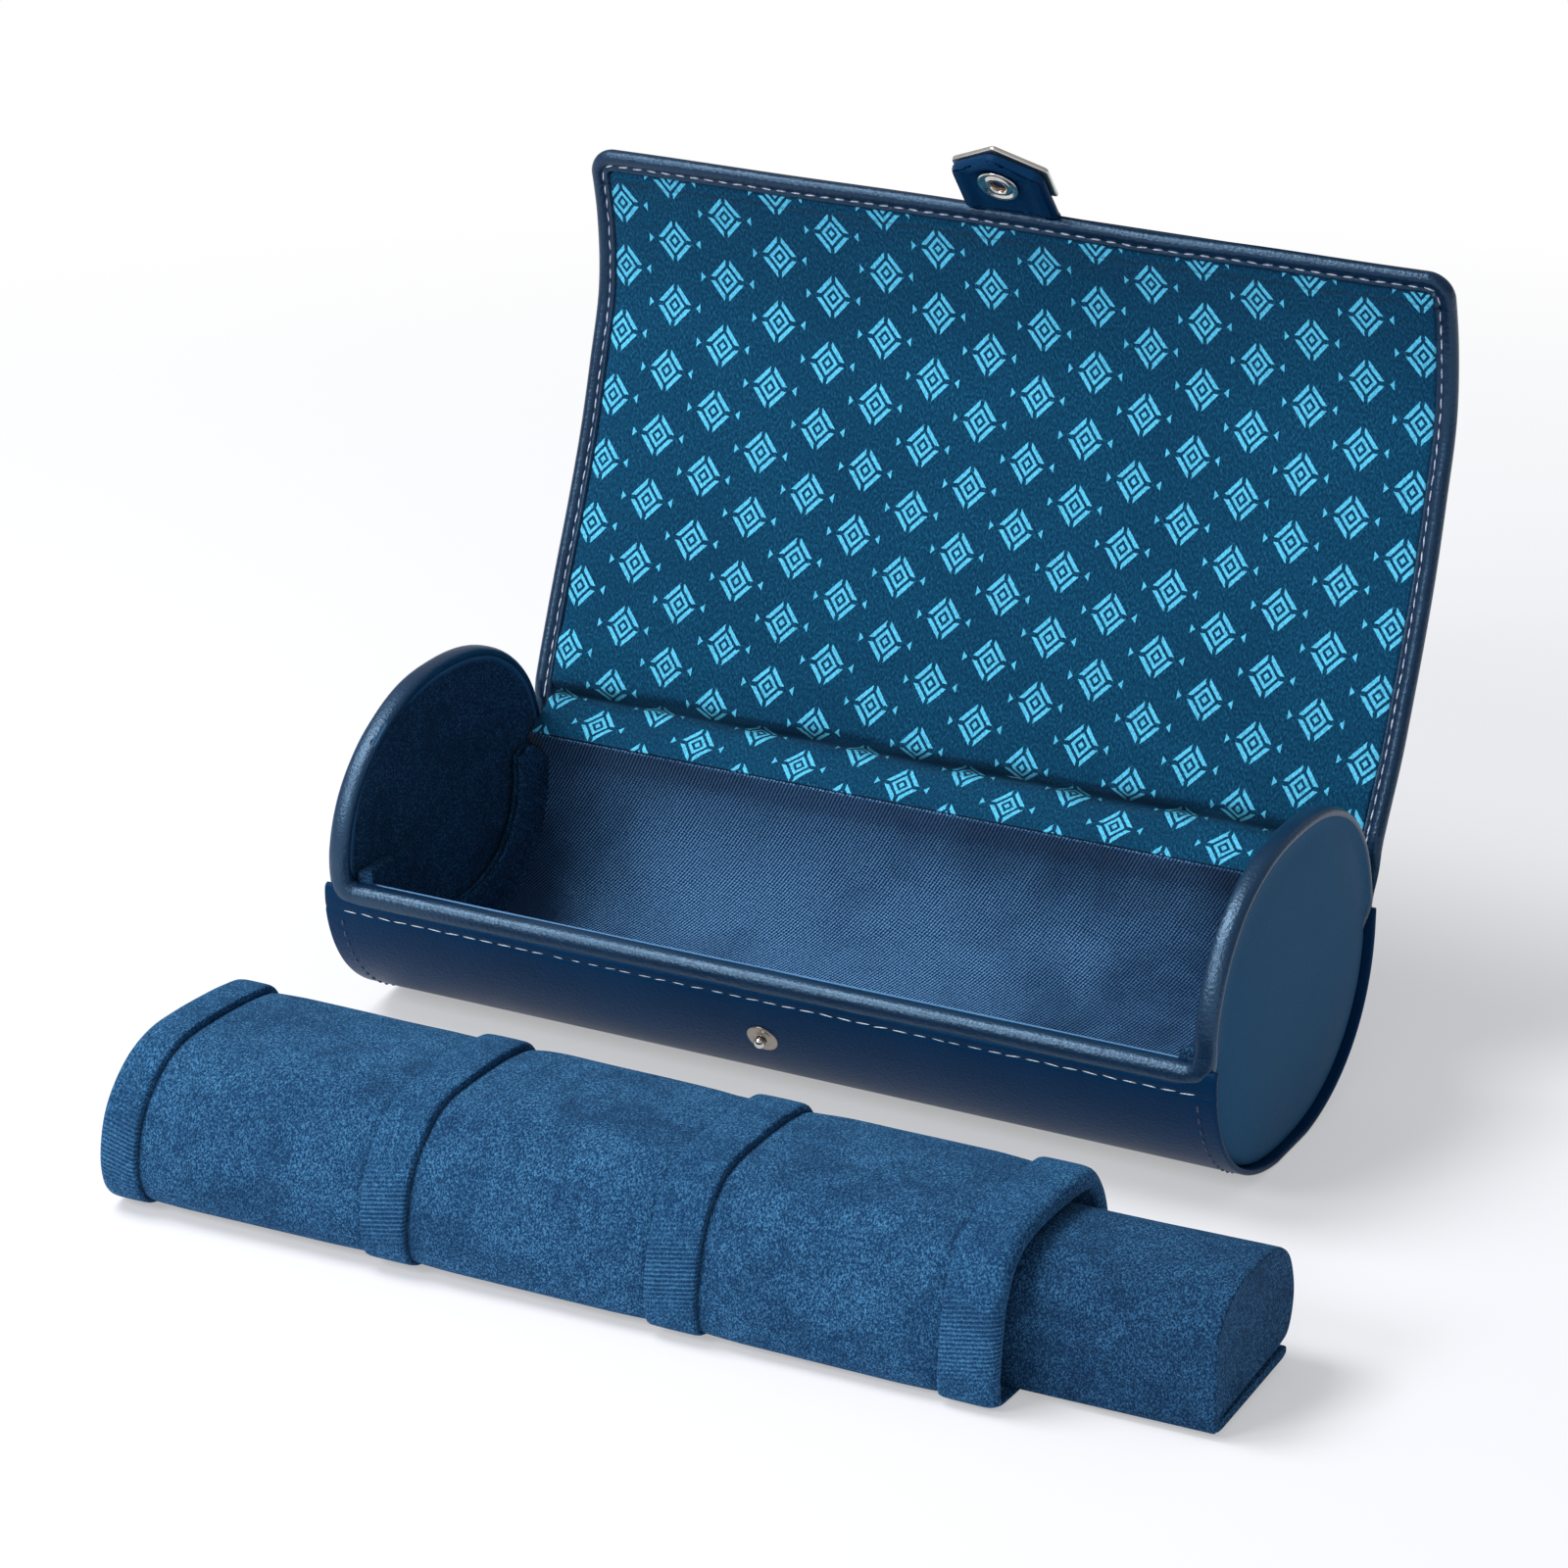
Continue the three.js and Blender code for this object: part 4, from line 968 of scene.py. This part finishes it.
def leatherHeights(x, reach, d):
    # thin where it leaves the case, then with a rolled border that is rough and pleated at the corners
    look = {"thinMiddle": -2.8, "thinHalf": 0.7, "cornerX": 114.5, "cornerDrop": 6, "pleat": 0.34, "pleats": 19}
    share = smoothStep(reach, 1, 9)
    thin = look["thinHalf"] * quarterRound(d, lid["rollWidth"])
    bumps = np.stack([x, reach, np.zeros_like(x)], -1)
    rough = 0.09 * softNoise(bumps, 5.5, 21) + 0.05 * softNoise(bumps, 2.3, 22)
    apart = (np.abs(x) - look["cornerX"]) ** 2 + (reach - (lidTop - look["cornerDrop"])) ** 2
    angle = np.arctan2(reach - (lidTop - 11), np.abs(x) - 109)
    pleats = (look["pleat"] * np.exp(-apart / 40) * bell(d, 4.6, 1.1) * np.sin(angle * look["pleats"])
              * np.where(x > 0, 1, 0.45))
    border = smoothStep(d, 0.4, 2) * smoothStep(-d, -6.5, -5.5)
    near = (look["thinMiddle"] + thin) * (1 - share) + lidInner(d) * share + rough * border * share + pleats
    far = (look["thinMiddle"] - thin) * (1 - share) + lidOuter(d) * share
    return near, far


leatherPlan = {
    "path": lidLine, "bottom": lidBottom, "top": lidTop, "halfWidth": lid["halfWidth"], "corner": lid["corner"],
    "edge": [0, 0.05, 0.22, 0.5, 0.88, 1.36, 1.9, 2.4, 2.9, 3.25, 3.55, 3.8, 4.05, 4.4, 4.8, 5.15, 5.5, 5.9, 6.6, 8],
    "inner": 44, "step": 2.0, "cuts": cuts, "hidden": 0.0,
}
for k, piece in enumerate(makeShell("lidLeather", borderLeather, leatherHeights, leatherPlan)):
    if k > 0:
        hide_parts(f"lid_leather_{k}", f"lid_pad_{k}")


def liningPath():
    # out of the case, through the gather at the hinge and up the lid's inner side
    gather = [(41.3, 50.9), (43.2, 52.5), (46.6, 54.2), (49.8, 55.8), (52.0, 57.4), (53.2, 59.3), (54.3, 62.4),
              (56.6, 67.2), (58.6, 71.3)]
    tail = lidTop - 5.4
    place, normal = alongPath(lidLine, np.arange(24, tail, 8).tolist() + [tail])
    return splinePath(gather + (place + normal * 0.05).tolist(), 16)


liningLine = liningPath()
liningTop = float(liningLine[0][-1])


def liningCuts():
    # where the lining passes the middle of each lid strip
    length, line = liningLine
    found = []
    for low, high in zip(lid["hinges"], lid["hinges"][1:]):
        along = unit(np.array(high) - np.array(low))
        middle = np.array(low) + along * lid["stripLength"] / 2
        near = np.linalg.norm(line - middle, axis=1) < 8
        found.append(float(length[int(np.argmin(np.where(near, np.abs((line - middle) @ along), 99)))]))
    return found


def liningHeights(x, reach, d):
    # soft bumps, two creases below the tab, and gathers with one deep crease at the hinge
    look = {"thickness": 0.7, "crease": 2.3, "creaseAt": 14.3, "gather": 0.62, "gatherAt": 12.5, "pull": 0.34}
    place = np.stack([x, reach, np.zeros_like(x)], -1)
    soft = 0.16 * softNoise(place, 24, 31) + 0.05 * softNoise(place, 8, 32)
    upper = bell(reach, liningTop - 9 - 0.05 * x, 3.2) * bell(x, 12, 46)
    lower = bell(reach, liningTop - 16, 4) * bell(x, 22, 30)
    gathers = bell(reach, look["gatherAt"], 7) * softNoise(place * (1, 0.25, 1), 7, 33) * look["gather"]
    wander = 0.9 * softNoise(place * (1, 0, 0), 26, 34)
    crease = bell(reach, look["creaseAt"] + wander, 1.2) * look["crease"]
    inside = smoothStep(d, 0, 3)
    top = (soft - 0.55 * upper - 0.35 * lower + gathers) * inside - look["pull"] * np.exp(-d / 3.0) - crease
    half = look["thickness"] / 2
    rounded = quarterRound(d, look["thickness"])
    return top - half * (1 - rounded), top - half - half * rounded


liningPlan = {
    "path": liningLine, "bottom": 0.0, "top": liningTop, "halfWidth": lid["halfWidth"] - 5.35, "corner": 2.4,
    "edge": [0, 0.03, 0.12, 0.28, 0.48, 0.7, 1.1, 1.7, 2.6, 4, 6], "inner": 60, "step": 1.2,
    "cuts": liningCuts(), "hidden": 5.5, "creaseExtra": 2.0,
}
shell = makeShell("lidLining", printedCloth, liningHeights, liningPlan)
for k, piece in enumerate(shell):
    # the last strip is too short for a sheet of its own and goes with the one before it
    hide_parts(f"lid_lining_{k}" if k > 0 else "hinge_strip")
print("lid made")


# Stitches on the case and the lid

def lidPlace(x, reach, lift):
    place, normal = alongPath(lidLine, reach)
    return leanLid(np.column_stack([x, place + normal * lift]))


def makeLidStitches():
    look = {"inset": 3.8, "lift": 0.05, "pitch": 4.2, "dash": 2.9, "radius": 0.2, "start": 5.5}
    x = lid["halfWidth"] - look["inset"]
    marks = [look["start"]] + cuts
    for k in range(lid["strips"]):
        reach = np.linspace(marks[k], marks[k + 1], 24)
        sides = [lidPlace(np.full(24, side * x), reach, look["lift"]) for side in (-1, 1)]
        piece = stitchRow(f"lidStitches{k}", sides, look, blueThread, 40 + k)
        blendAlong(piece)
    # the last row goes up one side, along the free edge and down the other
    top = lidTop - look["inset"]
    corner = lid["corner"] - look["inset"]
    turn = np.linspace(0, math.pi / 2, 8)
    side = np.linspace(cuts[-1], top - corner, 20)[:-1]
    halfX = np.concatenate([np.full(len(side), x), x - corner + corner * np.cos(turn)])
    halfReach = np.concatenate([side, top - corner + corner * np.sin(turn)])
    across = np.linspace(x - corner, -(x - corner), 60)[1:-1]
    allX = np.concatenate([halfX, across, -halfX[::-1]])
    allReach = np.concatenate([halfReach, np.full(len(across), top), halfReach[::-1]])
    piece = stitchRow("lidStitches8", [lidPlace(allX, allReach, look["lift"])], look, blueThread, 60)
    register(piece, "lid_8", "lid_lining")


makeLidStitches()


def makeCaseStitches():
    front = {"height": 33.8, "y": -49.15, "pitch": 4.9, "dash": 4.1, "radius": 0.13, "end": 116.2}
    ends = {"inset": -0.02, "rear": 43, "front": 32, "pitch": 3.6, "dash": 2.0, "radius": 0.34}
    xs = np.linspace(-front["end"], front["end"], 60)
    line = np.column_stack([xs, np.full(60, front["y"]), np.full(60, front["height"])])
    piece = stitchRow("frontStitches", [line], front, paleThread, 7)
    register(piece, "case", "leather")
    around = underArc(ends["inset"], ends["rear"], ends["front"], 120)
    lines = [atX(side * front["end"], around) for side in (-1, 1)]
    piece = stitchRow("endStitches", lines, ends, darkThread, 8)
    register(piece, "case", "leather")


makeCaseStitches()
print("stitches made")


# The tab, drawn flat with its own axes and then turned into place

tab = {"root": (90.8, 192.9), "heading": 129.5, "width": 25.4, "shoulder": 17.6, "length": 24.3,
       "start": 2.0, "knuckle": 4, "knuckleHalf": 1.6, "socket": 13.496, "thickness": 2.5}
tabAlong = np.array([math.cos(math.radians(tab["heading"])), math.sin(math.radians(tab["heading"]))])
tabInward = turned(tabAlong)


def tabPlace(points):
    # x across, y along the tab, z out of its lining side
    points = np.asarray(points, float)
    yz = np.array(tab["root"]) + points[..., 1:2] * tabAlong + points[..., 2:3] * tabInward
    return np.concatenate([points[..., :1], yz], -1)


def tabOutline(grow, start, clip):
    # two straight sides and a blunt point, its corners cut off and rounded
    half = tab["width"] / 2 + grow
    shoulder, tip = tab["shoulder"] + grow * 0.6, tab["length"] + grow
    corners = np.array([(half, start), (half, shoulder), (0, tip), (-half, shoulder), (-half, start)])
    line = [corners[0]]
    for before, here, after in zip(corners, corners[1:], corners[2:]):
        a, c = here + unit(before - here) * clip, here + unit(after - here) * clip
        for share in np.linspace(0, 1, 7):
            line.append((1 - share) ** 2 * a + 2 * share * (1 - share) * here + share ** 2 * c)
    return np.array(line + [corners[-1]])


def slabRows(start, grow, clip, top, bottom, roundness):
    # rings that follow the tab's outline, from the middle of one side round the edge to the other
    centre = np.array([0, (start + tab["length"]) / 2])
    edge = tabOutline(grow, start, clip)
    dense = []
    for a, b in zip(edge, np.roll(edge, -1, 0)):
        steps = max(1, int(np.linalg.norm(b - a) / 1.6))
        dense += [a + (b - a) * s / steps for s in range(steps)]
    dense = np.array(dense)
    inward = unit(centre - dense)
    middle, half = (top + bottom) / 2, (top - bottom) / 2
    shares = np.linspace(0.04, 0.95, 14)
    rings = [(centre + (dense - centre) * share, top) for share in shares]
    rings += [(dense + inward * roundness * (1 - math.sin(angle)), middle + half * math.cos(angle))
              for angle in np.linspace(0, math.pi, 11)]
    rings += [(centre + (dense - centre) * share, bottom) for share in shares[::-1]]
    return np.array([np.column_stack([ring, np.full(len(ring), z)]) for ring, z in rings])


def tabPadding(points):
    # a puffed border, a groove inside it, a hollow for the socket and a fold round its far side
    look = {"puff": 0.75, "groove": 0.3, "fold": 0.4, "hollow": 0.35}
    reach = np.hypot(points[..., 0], points[..., 1] - tab["socket"])
    side = np.minimum(tab["width"] / 2 - np.abs(points[..., 0]),
                      (tab["length"] - points[..., 1]) * 0.88 - np.abs(points[..., 0]) * 0.3)
    puff = look["puff"] * bell(side, 3.0, 1.5) - look["groove"] * bell(side, 5.4, 1.0)
    fold = look["fold"] * bell(reach, 7.4, 0.9) * smoothStep(points[..., 1], tab["socket"], tab["socket"] + 4)
    hollow = look["hollow"] * smoothStep(-reach, -7, -4.8)
    return smoothStep(points[..., 2], -1.2, -0.2) * (puff * smoothStep(reach, 5.5, 7.5) + fold - hollow)


def makeTabLeather():
    points = slabRows(tab["start"], 0, 2.8, 0.0, -tab["thickness"], 1.1)
    points[..., 2] += tabPadding(points)
    piece = gridPiece("tabLeather", tabPlace(points), leather)
    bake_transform(piece)
    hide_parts("tab_leather_inner", "tab_leather_outer")


def besideLid(back, depth):
    # a place this far back from the lid's free edge and this far off its path
    place, normal = alongPath(lidLine, [lidTop - back])
    return place[0] + normal[0] * depth


def makeTabRoot():
    # from inside the lid's edge, out over it and into the tab
    look = {"inside": (7.5, -1.6), "edge": (0.5, -1.5), "meet": 2.4, "further": 3.4, "narrower": 0.15,
            "thinner": 0.12, "sides": 40}
    start, leave = leanLid(np.array([(0, *besideLid(*look[key])) for key in ("inside", "edge")]))[:, 1:]
    meet, further = [tabPlace([0, y, -tab["thickness"] / 2])[1:] for y in (look["meet"], look["further"])]
    line = splinePath([start, leave, meet, further], 8)[1]
    across = turned(unit(np.gradient(line, axis=0)))
    angles = turnAngles(look["sides"])
    x = (tab["width"] / 2 - look["narrower"]) * signedPower(np.cos(angles), 0.15)
    rise = (tab["thickness"] / 2 - look["thinner"]) * signedPower(np.sin(angles), 0.5)
    rows = [np.column_stack([x, place + side * rise[:, None]]) for place, side in zip(line, across)]
    piece = gridPiece("tabRootLeather", np.array(rows), leather)
    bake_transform(piece)
    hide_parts("tab_root")


def makeTabPlate():
    look = {"start": 8.0, "grow": 0.95, "clip": 0.9, "sunk": 0.1, "proud": 1.1, "round": 0.35,
            "width": 0.965, "aside": 0.45}
    points = slabRows(look["start"], look["grow"], look["clip"], -tab["thickness"] + look["sunk"],
                      -tab["thickness"] - look["proud"], look["round"])
    points[..., 0] = points[..., 0] * look["width"] + look["aside"]
    piece = gridPiece("tabPlate", tabPlace(points), brushedNickel)
    register(piece, "tab", "nickel", "tab_plate")


def makeTabStitches():
    look = {"inset": 2.1, "start": 5.0, "clip": 1.6, "lift": 0.08, "pitch": 3.2, "dash": 1.7, "radius": 0.2}
    line = tabOutline(-look["inset"], look["start"], look["clip"])
    flat = np.column_stack([line, np.full(len(line), look["lift"])])
    piece = stitchRow("tabStitches", [tabPlace(flat)], look, darkThread, 9)
    register(piece, "tab", "leather")


makeTabLeather()
makeTabRoot()
makeTabPlate()
makeTabStitches()


def lathe(name, profile, place, axis, material, sides=48):
    # turns (radius, height) pairs about an axis in the YZ plane
    axis = unit(np.array([0, axis[0], axis[1]], float))
    across = np.array([1.0, 0, 0])
    third = np.cross(axis, across)
    angles = turnAngles(sides)[:, None]
    rows = [np.array(place) + axis * height + radius * (np.cos(angles) * across + np.sin(angles) * third)
            for radius, height in profile]
    return gridPiece(name, np.array(rows), material)


def studAxis(height):
    # square to the section where the stud stands
    angle = -math.pi - angleAtHeight(0, height)
    out = -turned(unit(sectionPoint(0, angle + 0.01) - sectionPoint(0, angle - 0.01)))
    return out if out[0] < 0 else -out


def makeSnap():
    foot = (1.0, -45.7, 22.6)
    socket = [(2.2, -1.0), (3.0, -1.0), (3.0, 0.0), (5.0, 0.0), (5.4, 0.2), (5.55, 0.5), (5.4, 0.85), (5.0, 1.0),
              (4.5, 0.85), (4.1, 0.35), (3.75, 0.3), (3.5, 0.7), (3.2, 0.95), (2.8, 1.05), (2.4, 0.9), (2.2, 0.5)]
    well = [(0.02, -1.9), (2.3, -1.9), (2.3, 0.1), (1.95, 0.12), (1.8, -0.5), (1.7, -1.3), (1.2, -1.5), (0.02, -1.5)]
    stud = [(0.02, -1.7), (1.0, -1.7), (1.0, 0.9)]
    stud += [(1.5 * math.sin(a), 1.75 - 1.4 * math.cos(a)) for a in np.linspace(0.8, math.pi - 0.02, 12)]
    flange = [(1.25, 0.05), (3.7, 0.05), (4.05, 0.15), (4.15, 0.32), (4.0, 0.5), (3.5, 0.58), (2.9, 0.4), (2.5, 0.42),
              (2.1, 0.75), (1.6, 0.9), (1.25, 0.9)]
    onTab = (tabPlace([0, tab["socket"], 0]), tabInward)
    onCase = (foot, studAxis(foot[2]))
    for name, profile, where, material, body, *nodes in (
            ("snapSocket", socket + socket[:1], onTab, nickel, "tab", "snap_socket"),
            ("snapWell", well, onTab, brass, "tab"),
            ("snapStud", stud, onCase, nickel, "case", "snap_stud"),
            ("snapFlange", flange + flange[:1], onCase, dullNickel, "case", "snap_stud_flange")):
        register(lathe(name, profile, *where, material), body, "nickel", *nodes)


makeSnap()
print("tab and snap made")


# The cushion roll

cushion = {"x": -0.4, "y": -120.6, "skew": 0.026, "halfLength": 114.5, "boreInset": 4.0, "around": 132,
           "sectionAt": 112, "leftShift": 1.6, "rightShift": 0.6}
# the soft sleeve's section near its left and right ends, from the top at the back over the front
leftSection = [(25.5, 34.2), (18, 35.9), (9, 36.8), (-2, 37.3), (-11.8, 37.1), (-19.6, 34.9), (-25.6, 30.8),
               (-30.6, 24.8), (-33.2, 17.8), (-33.7, 11.4), (-32.0, 5.6), (-28.0, 1.9), (-21, 0.7), (0, 0.7),
               (20, 0.7), (27.6, 1.6), (31, 6), (32, 13), (31.8, 20), (30.2, 27), (28.2, 31.2)]
rightSection = [(16.5, 36.4), (11, 37.5), (5.8, 38.0), (-4.6, 38.2), (-15.0, 37.7), (-21.6, 36.0), (-26.6, 32.2),
                (-30.8, 25.4), (-32.7, 17.4), (-33.5, 11), (-33.5, 5.0), (-32.0, 1.6), (-26, 0.7), (0, 0.7),
                (16, 0.7), (22.0, 1.6), (25.2, 6), (26.2, 13), (25.8, 20), (23.6, 27), (20.4, 32.6)]
# the middle and half width of each band
bands = [(-108.9, 5.1), (-37.6, 5.7), (35.6, 6.3), (107.7, 6.8)]


def closedOutline(controls, count):
    # a smooth closed line through the controls, at even steps
    steps = 16
    around = splinePath(controls[-3:] + controls + controls[:4], steps)[1]
    around = around[3 * steps:(3 + len(controls)) * steps + 1]
    length = lineLengths(around)
    return pickAlong(length, around, np.arange(count) / count * length[-1])


def outlineNormals(outline):
    normal = -turned(unit(np.roll(outline, -1, 0) - np.roll(outline, 1, 0)))
    return normal if (normal * (outline - outline.mean(0))).sum() > 0 else -normal


sleeveEnds = [closedOutline(leftSection, cushion["around"]) - (cushion["leftShift"], 0),
              closedOutline(rightSection, cushion["around"]) - (cushion["rightShift"], 0)]


def coverOutline(grow, x):
    # the sleeve's section at x, grown outwards, but less so underneath where it rests on the table
    share = min(max((x + cushion["sectionAt"]) / (2 * cushion["sectionAt"]), 0), 1)
    outline = sleeveEnds[0] * (1 - share) + sleeveEnds[1] * share
    normal = outlineNormals(outline)
    under = 0.39 if grow > 0 else 0.2
    normal[:, 1] *= 1 + (under - 1) * smoothStep(-normal[:, 1], 0, 0.9)
    return outline + normal * grow


def layCushion(points, shift=0.0):
    # the roll lies a little askew on the table
    points = np.array(points, float)
    points[..., 0] += shift
    points[..., 1] += cushion["y"] + cushion["skew"] * points[..., 0]
    return points


def awayFrom(points, height):
    # outwards from a line along X at this height
    away = points - np.array([0, 0, height])
    away[..., 0] = 0
    return unit(away)


def makeCover():
    # swollen between the bands and drawn in beside them
    look = {"crown": 0.4, "dip": 0.8, "dipWidth": 0.9, "soft": 0.4, "fine": 0.12, "middle": 18, "fill": 0.9}
    end = cushion["halfLength"] - 2.0
    rows = []
    for x in np.linspace(-end, end, 190):
        gap = min(abs(x - place) - half for place, half in bands)
        swell = look["crown"] * smoothStep(gap, 0, 12) - look["dip"] * math.exp(-max(gap, 0) / look["dipWidth"])
        rows.append(atX(x, coverOutline(float(swell), x)))
    outer = np.array(rows)
    lift = smoothStep(outer[..., 2], 2, 9)
    bumps = softNoise(outer, 30, 41) * look["soft"] + softNoise(outer, 11, 42) * look["fine"]
    gaps = np.min([np.abs(outer[..., 0] - place) - half for place, half in bands], 0)
    outer = outer + awayFrom(outer, look["middle"]) * (bumps * lift * smoothStep(gaps, 0, 6))[..., None]
    inner = [atX(x, coverOutline(-cushion["boreInset"], x)) for x in (end, -end)]
    points = layCushion(np.concatenate([outer, inner]), cushion["x"])
    piece = gridPiece("sleeveCover", points, suede, kind="ring")
    register(piece, "sleeve", "suede", "sleeve_cover")


makeCover()


def makeBands():
    # the outermost bands roll in over the sleeve's ends
    look = {"wobble": 0.3, "fill": 0.7}
    # along the roll from the inner edge, and out from the cover
    inner = [(-1.0, -0.5), (-1.0, 0.75), (-0.985, 1.1), (-0.95, 1.32), (-0.88, 1.45), (-0.7, 1.52), (-0.3, 1.56)]
    other = [(0.3, 1.56), (0.7, 1.52), (0.88, 1.45), (0.95, 1.32), (0.985, 1.1), (1.0, 0.75), (1.0, -0.5)]
    rolled = [(0.3, 1.55), (0.55, 1.5), (0.74, 1.3), (0.87, 0.85), (0.95, 0.2), (0.99, -0.6), (1.0, -1.5),
              (0.985, -2.4), (0.94, -3.1), (0.86, -3.55), (0.72, -3.75), (0.0, -3.8), (0.0, -3.4), (0.6, -3.2),
              (0.75, -2.4), (0.75, -1.0), (0.6, -0.6)]
    for k, (place, half) in enumerate(bands):
        profile = inner + (rolled if k in (0, 3) else other)
        flip = -1 if k == 0 else 1
        xs = [place + flip * half * x for x, grow in profile]
        rows = np.array([atX(x, coverOutline(grow, x)) for x, (share, grow) in zip(xs, profile)])
        points = layCushion(rows, cushion["x"])
        points[..., 0] += look["wobble"] * softNoise(points * (0.2, 1, 1), 16, 50 + k)
        girth = lineLengths(np.concatenate([rows[0, :, 1:], rows[0, :1, 1:]]))
        reach = np.array([half * x for x, grow in profile + profile[:1]])
        surface = np.stack(np.broadcast_arrays(reach[:, None], girth[None, :]), -1)
        piece = gridPiece(f"sleeveBand{k + 1}", points, ribbedSuede, kind="ring", surface=surface)
        register(piece, "sleeve", "suede", f"sleeve_band_{k + 1}")


makeBands()


# the pillow's section: flat on top, lower at the back, its bottom rising to show the board
pillowSection = [(6, 32.7), (0, 33.1), (-8, 33.0), (-14, 32.2), (-19.4, 29.6), (-22.8, 25.2), (-23.7, 17), (-23.7, 9),
                 (-23.6, 2.6), (-23.1, 1.3), (-22.4, 1.9), (-21.4, 3.6), (-18, 4.2), (-8, 5.0), (4, 5.7), (13, 6.3),
                 (16.6, 7.4), (18.7, 10.8), (19.7, 16), (18.9, 21.2), (16.4, 26.6), (11.8, 30.6)]
pillow = {"start": -66.0, "end": 160.7}


def makePillowBlock():
    look = {"around": 150, "centre": (-2.0, 17.5), "middle": 18.0, "soft": 0.32, "fine": 0.08, "quiet": 12,
            "fill": 0.95}
    # an end's rings from its middle out: share of the section, way back from the end, inset
    ends = [(0.02, 0.35, 0.5), (0.25, 0.32, 0.5), (0.5, 0.26, 0.5), (0.75, 0.18, 0.5), (0.9, 0.1, 0.5),
            (0.965, 0.02, 0.5), (0.99, 0.0, 0.3), (1.0, 0.2, 0.1), (1.0, 0.6, 0.0), (1.0, 1.2, 0.0)]
    start, end = pillow["start"], pillow["end"]
    base = closedOutline(pillowSection, look["around"])
    normal, centre = outlineNormals(base), np.array(look["centre"])

    def ring(x, share=1.0, inset=0.0):
        return atX(x, centre + (base - normal * inset - centre) * share)

    rows = [ring(start + back, share, inset) for share, back, inset in ends]
    rows += [ring(x) for x in np.linspace(start + 3, end - 3, 110)]
    rows += [ring(end - back, share, inset) for share, back, inset in ends[::-1]]
    points = np.array(rows)
    soft = softNoise(points, 24, 61) * look["soft"] + softNoise(points, 9, 62) * look["fine"]
    soft *= smoothStep(points[..., 0], start, start + look["quiet"])
    soft *= smoothStep(-points[..., 0], -end, -end + look["quiet"])
    soft *= smoothStep(points[..., 2], 6, 14)
    points = points + awayFrom(points, look["middle"]) * soft[..., None]
    piece = gridPiece("pillowBlock", layCushion(points), shadedPillowSuede)
    register(piece, "pillow", "suede", "pillow_block")


def makePillowBoard():
    look = {"half": 19.6, "middle": -3.2, "tilt": 0.032, "height": 3.0, "thickHalf": 1.15, "sides": 48}
    c, s = np.cos(turnAngles(look["sides"])), np.sin(turnAngles(look["sides"]))
    rows = []
    for x, share in ((pillow["start"] + 0.3, 0.94), (pillow["start"] + 0.8, 1.0), (0, 1.0),
                     (pillow["end"] - 0.5, 1.0), (pillow["end"] - 0.05, 0.985), (pillow["end"] + 0.1, 0.94)):
        y = look["middle"] + look["half"] * share * signedPower(c, 0.12)
        z = look["height"] + look["thickHalf"] * share * signedPower(s, 0.5) + look["tilt"] * y
        rows.append(atX(x, np.column_stack([y, z])))
    piece = gridPiece("pillowBoard", layCushion(rows), shadedPillowSuede)
    register(piece, "pillow", "suede", "pillow_board")


makePillowBlock()
makePillowBoard()
print("cushion roll made")


# Finishes of the CAD pieces that stay: boards, rivet and cap

for name, finish in (("tray_shell", greyboard), ("left_end_board", greyboard), ("right_end_board", greyboard),
                     ("snap_stud_rivet", nickel), ("snap_cap", nickel)):
    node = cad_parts[name]
    node.data.materials.clear()
    node.data.materials.append(finish)

print("finishing")
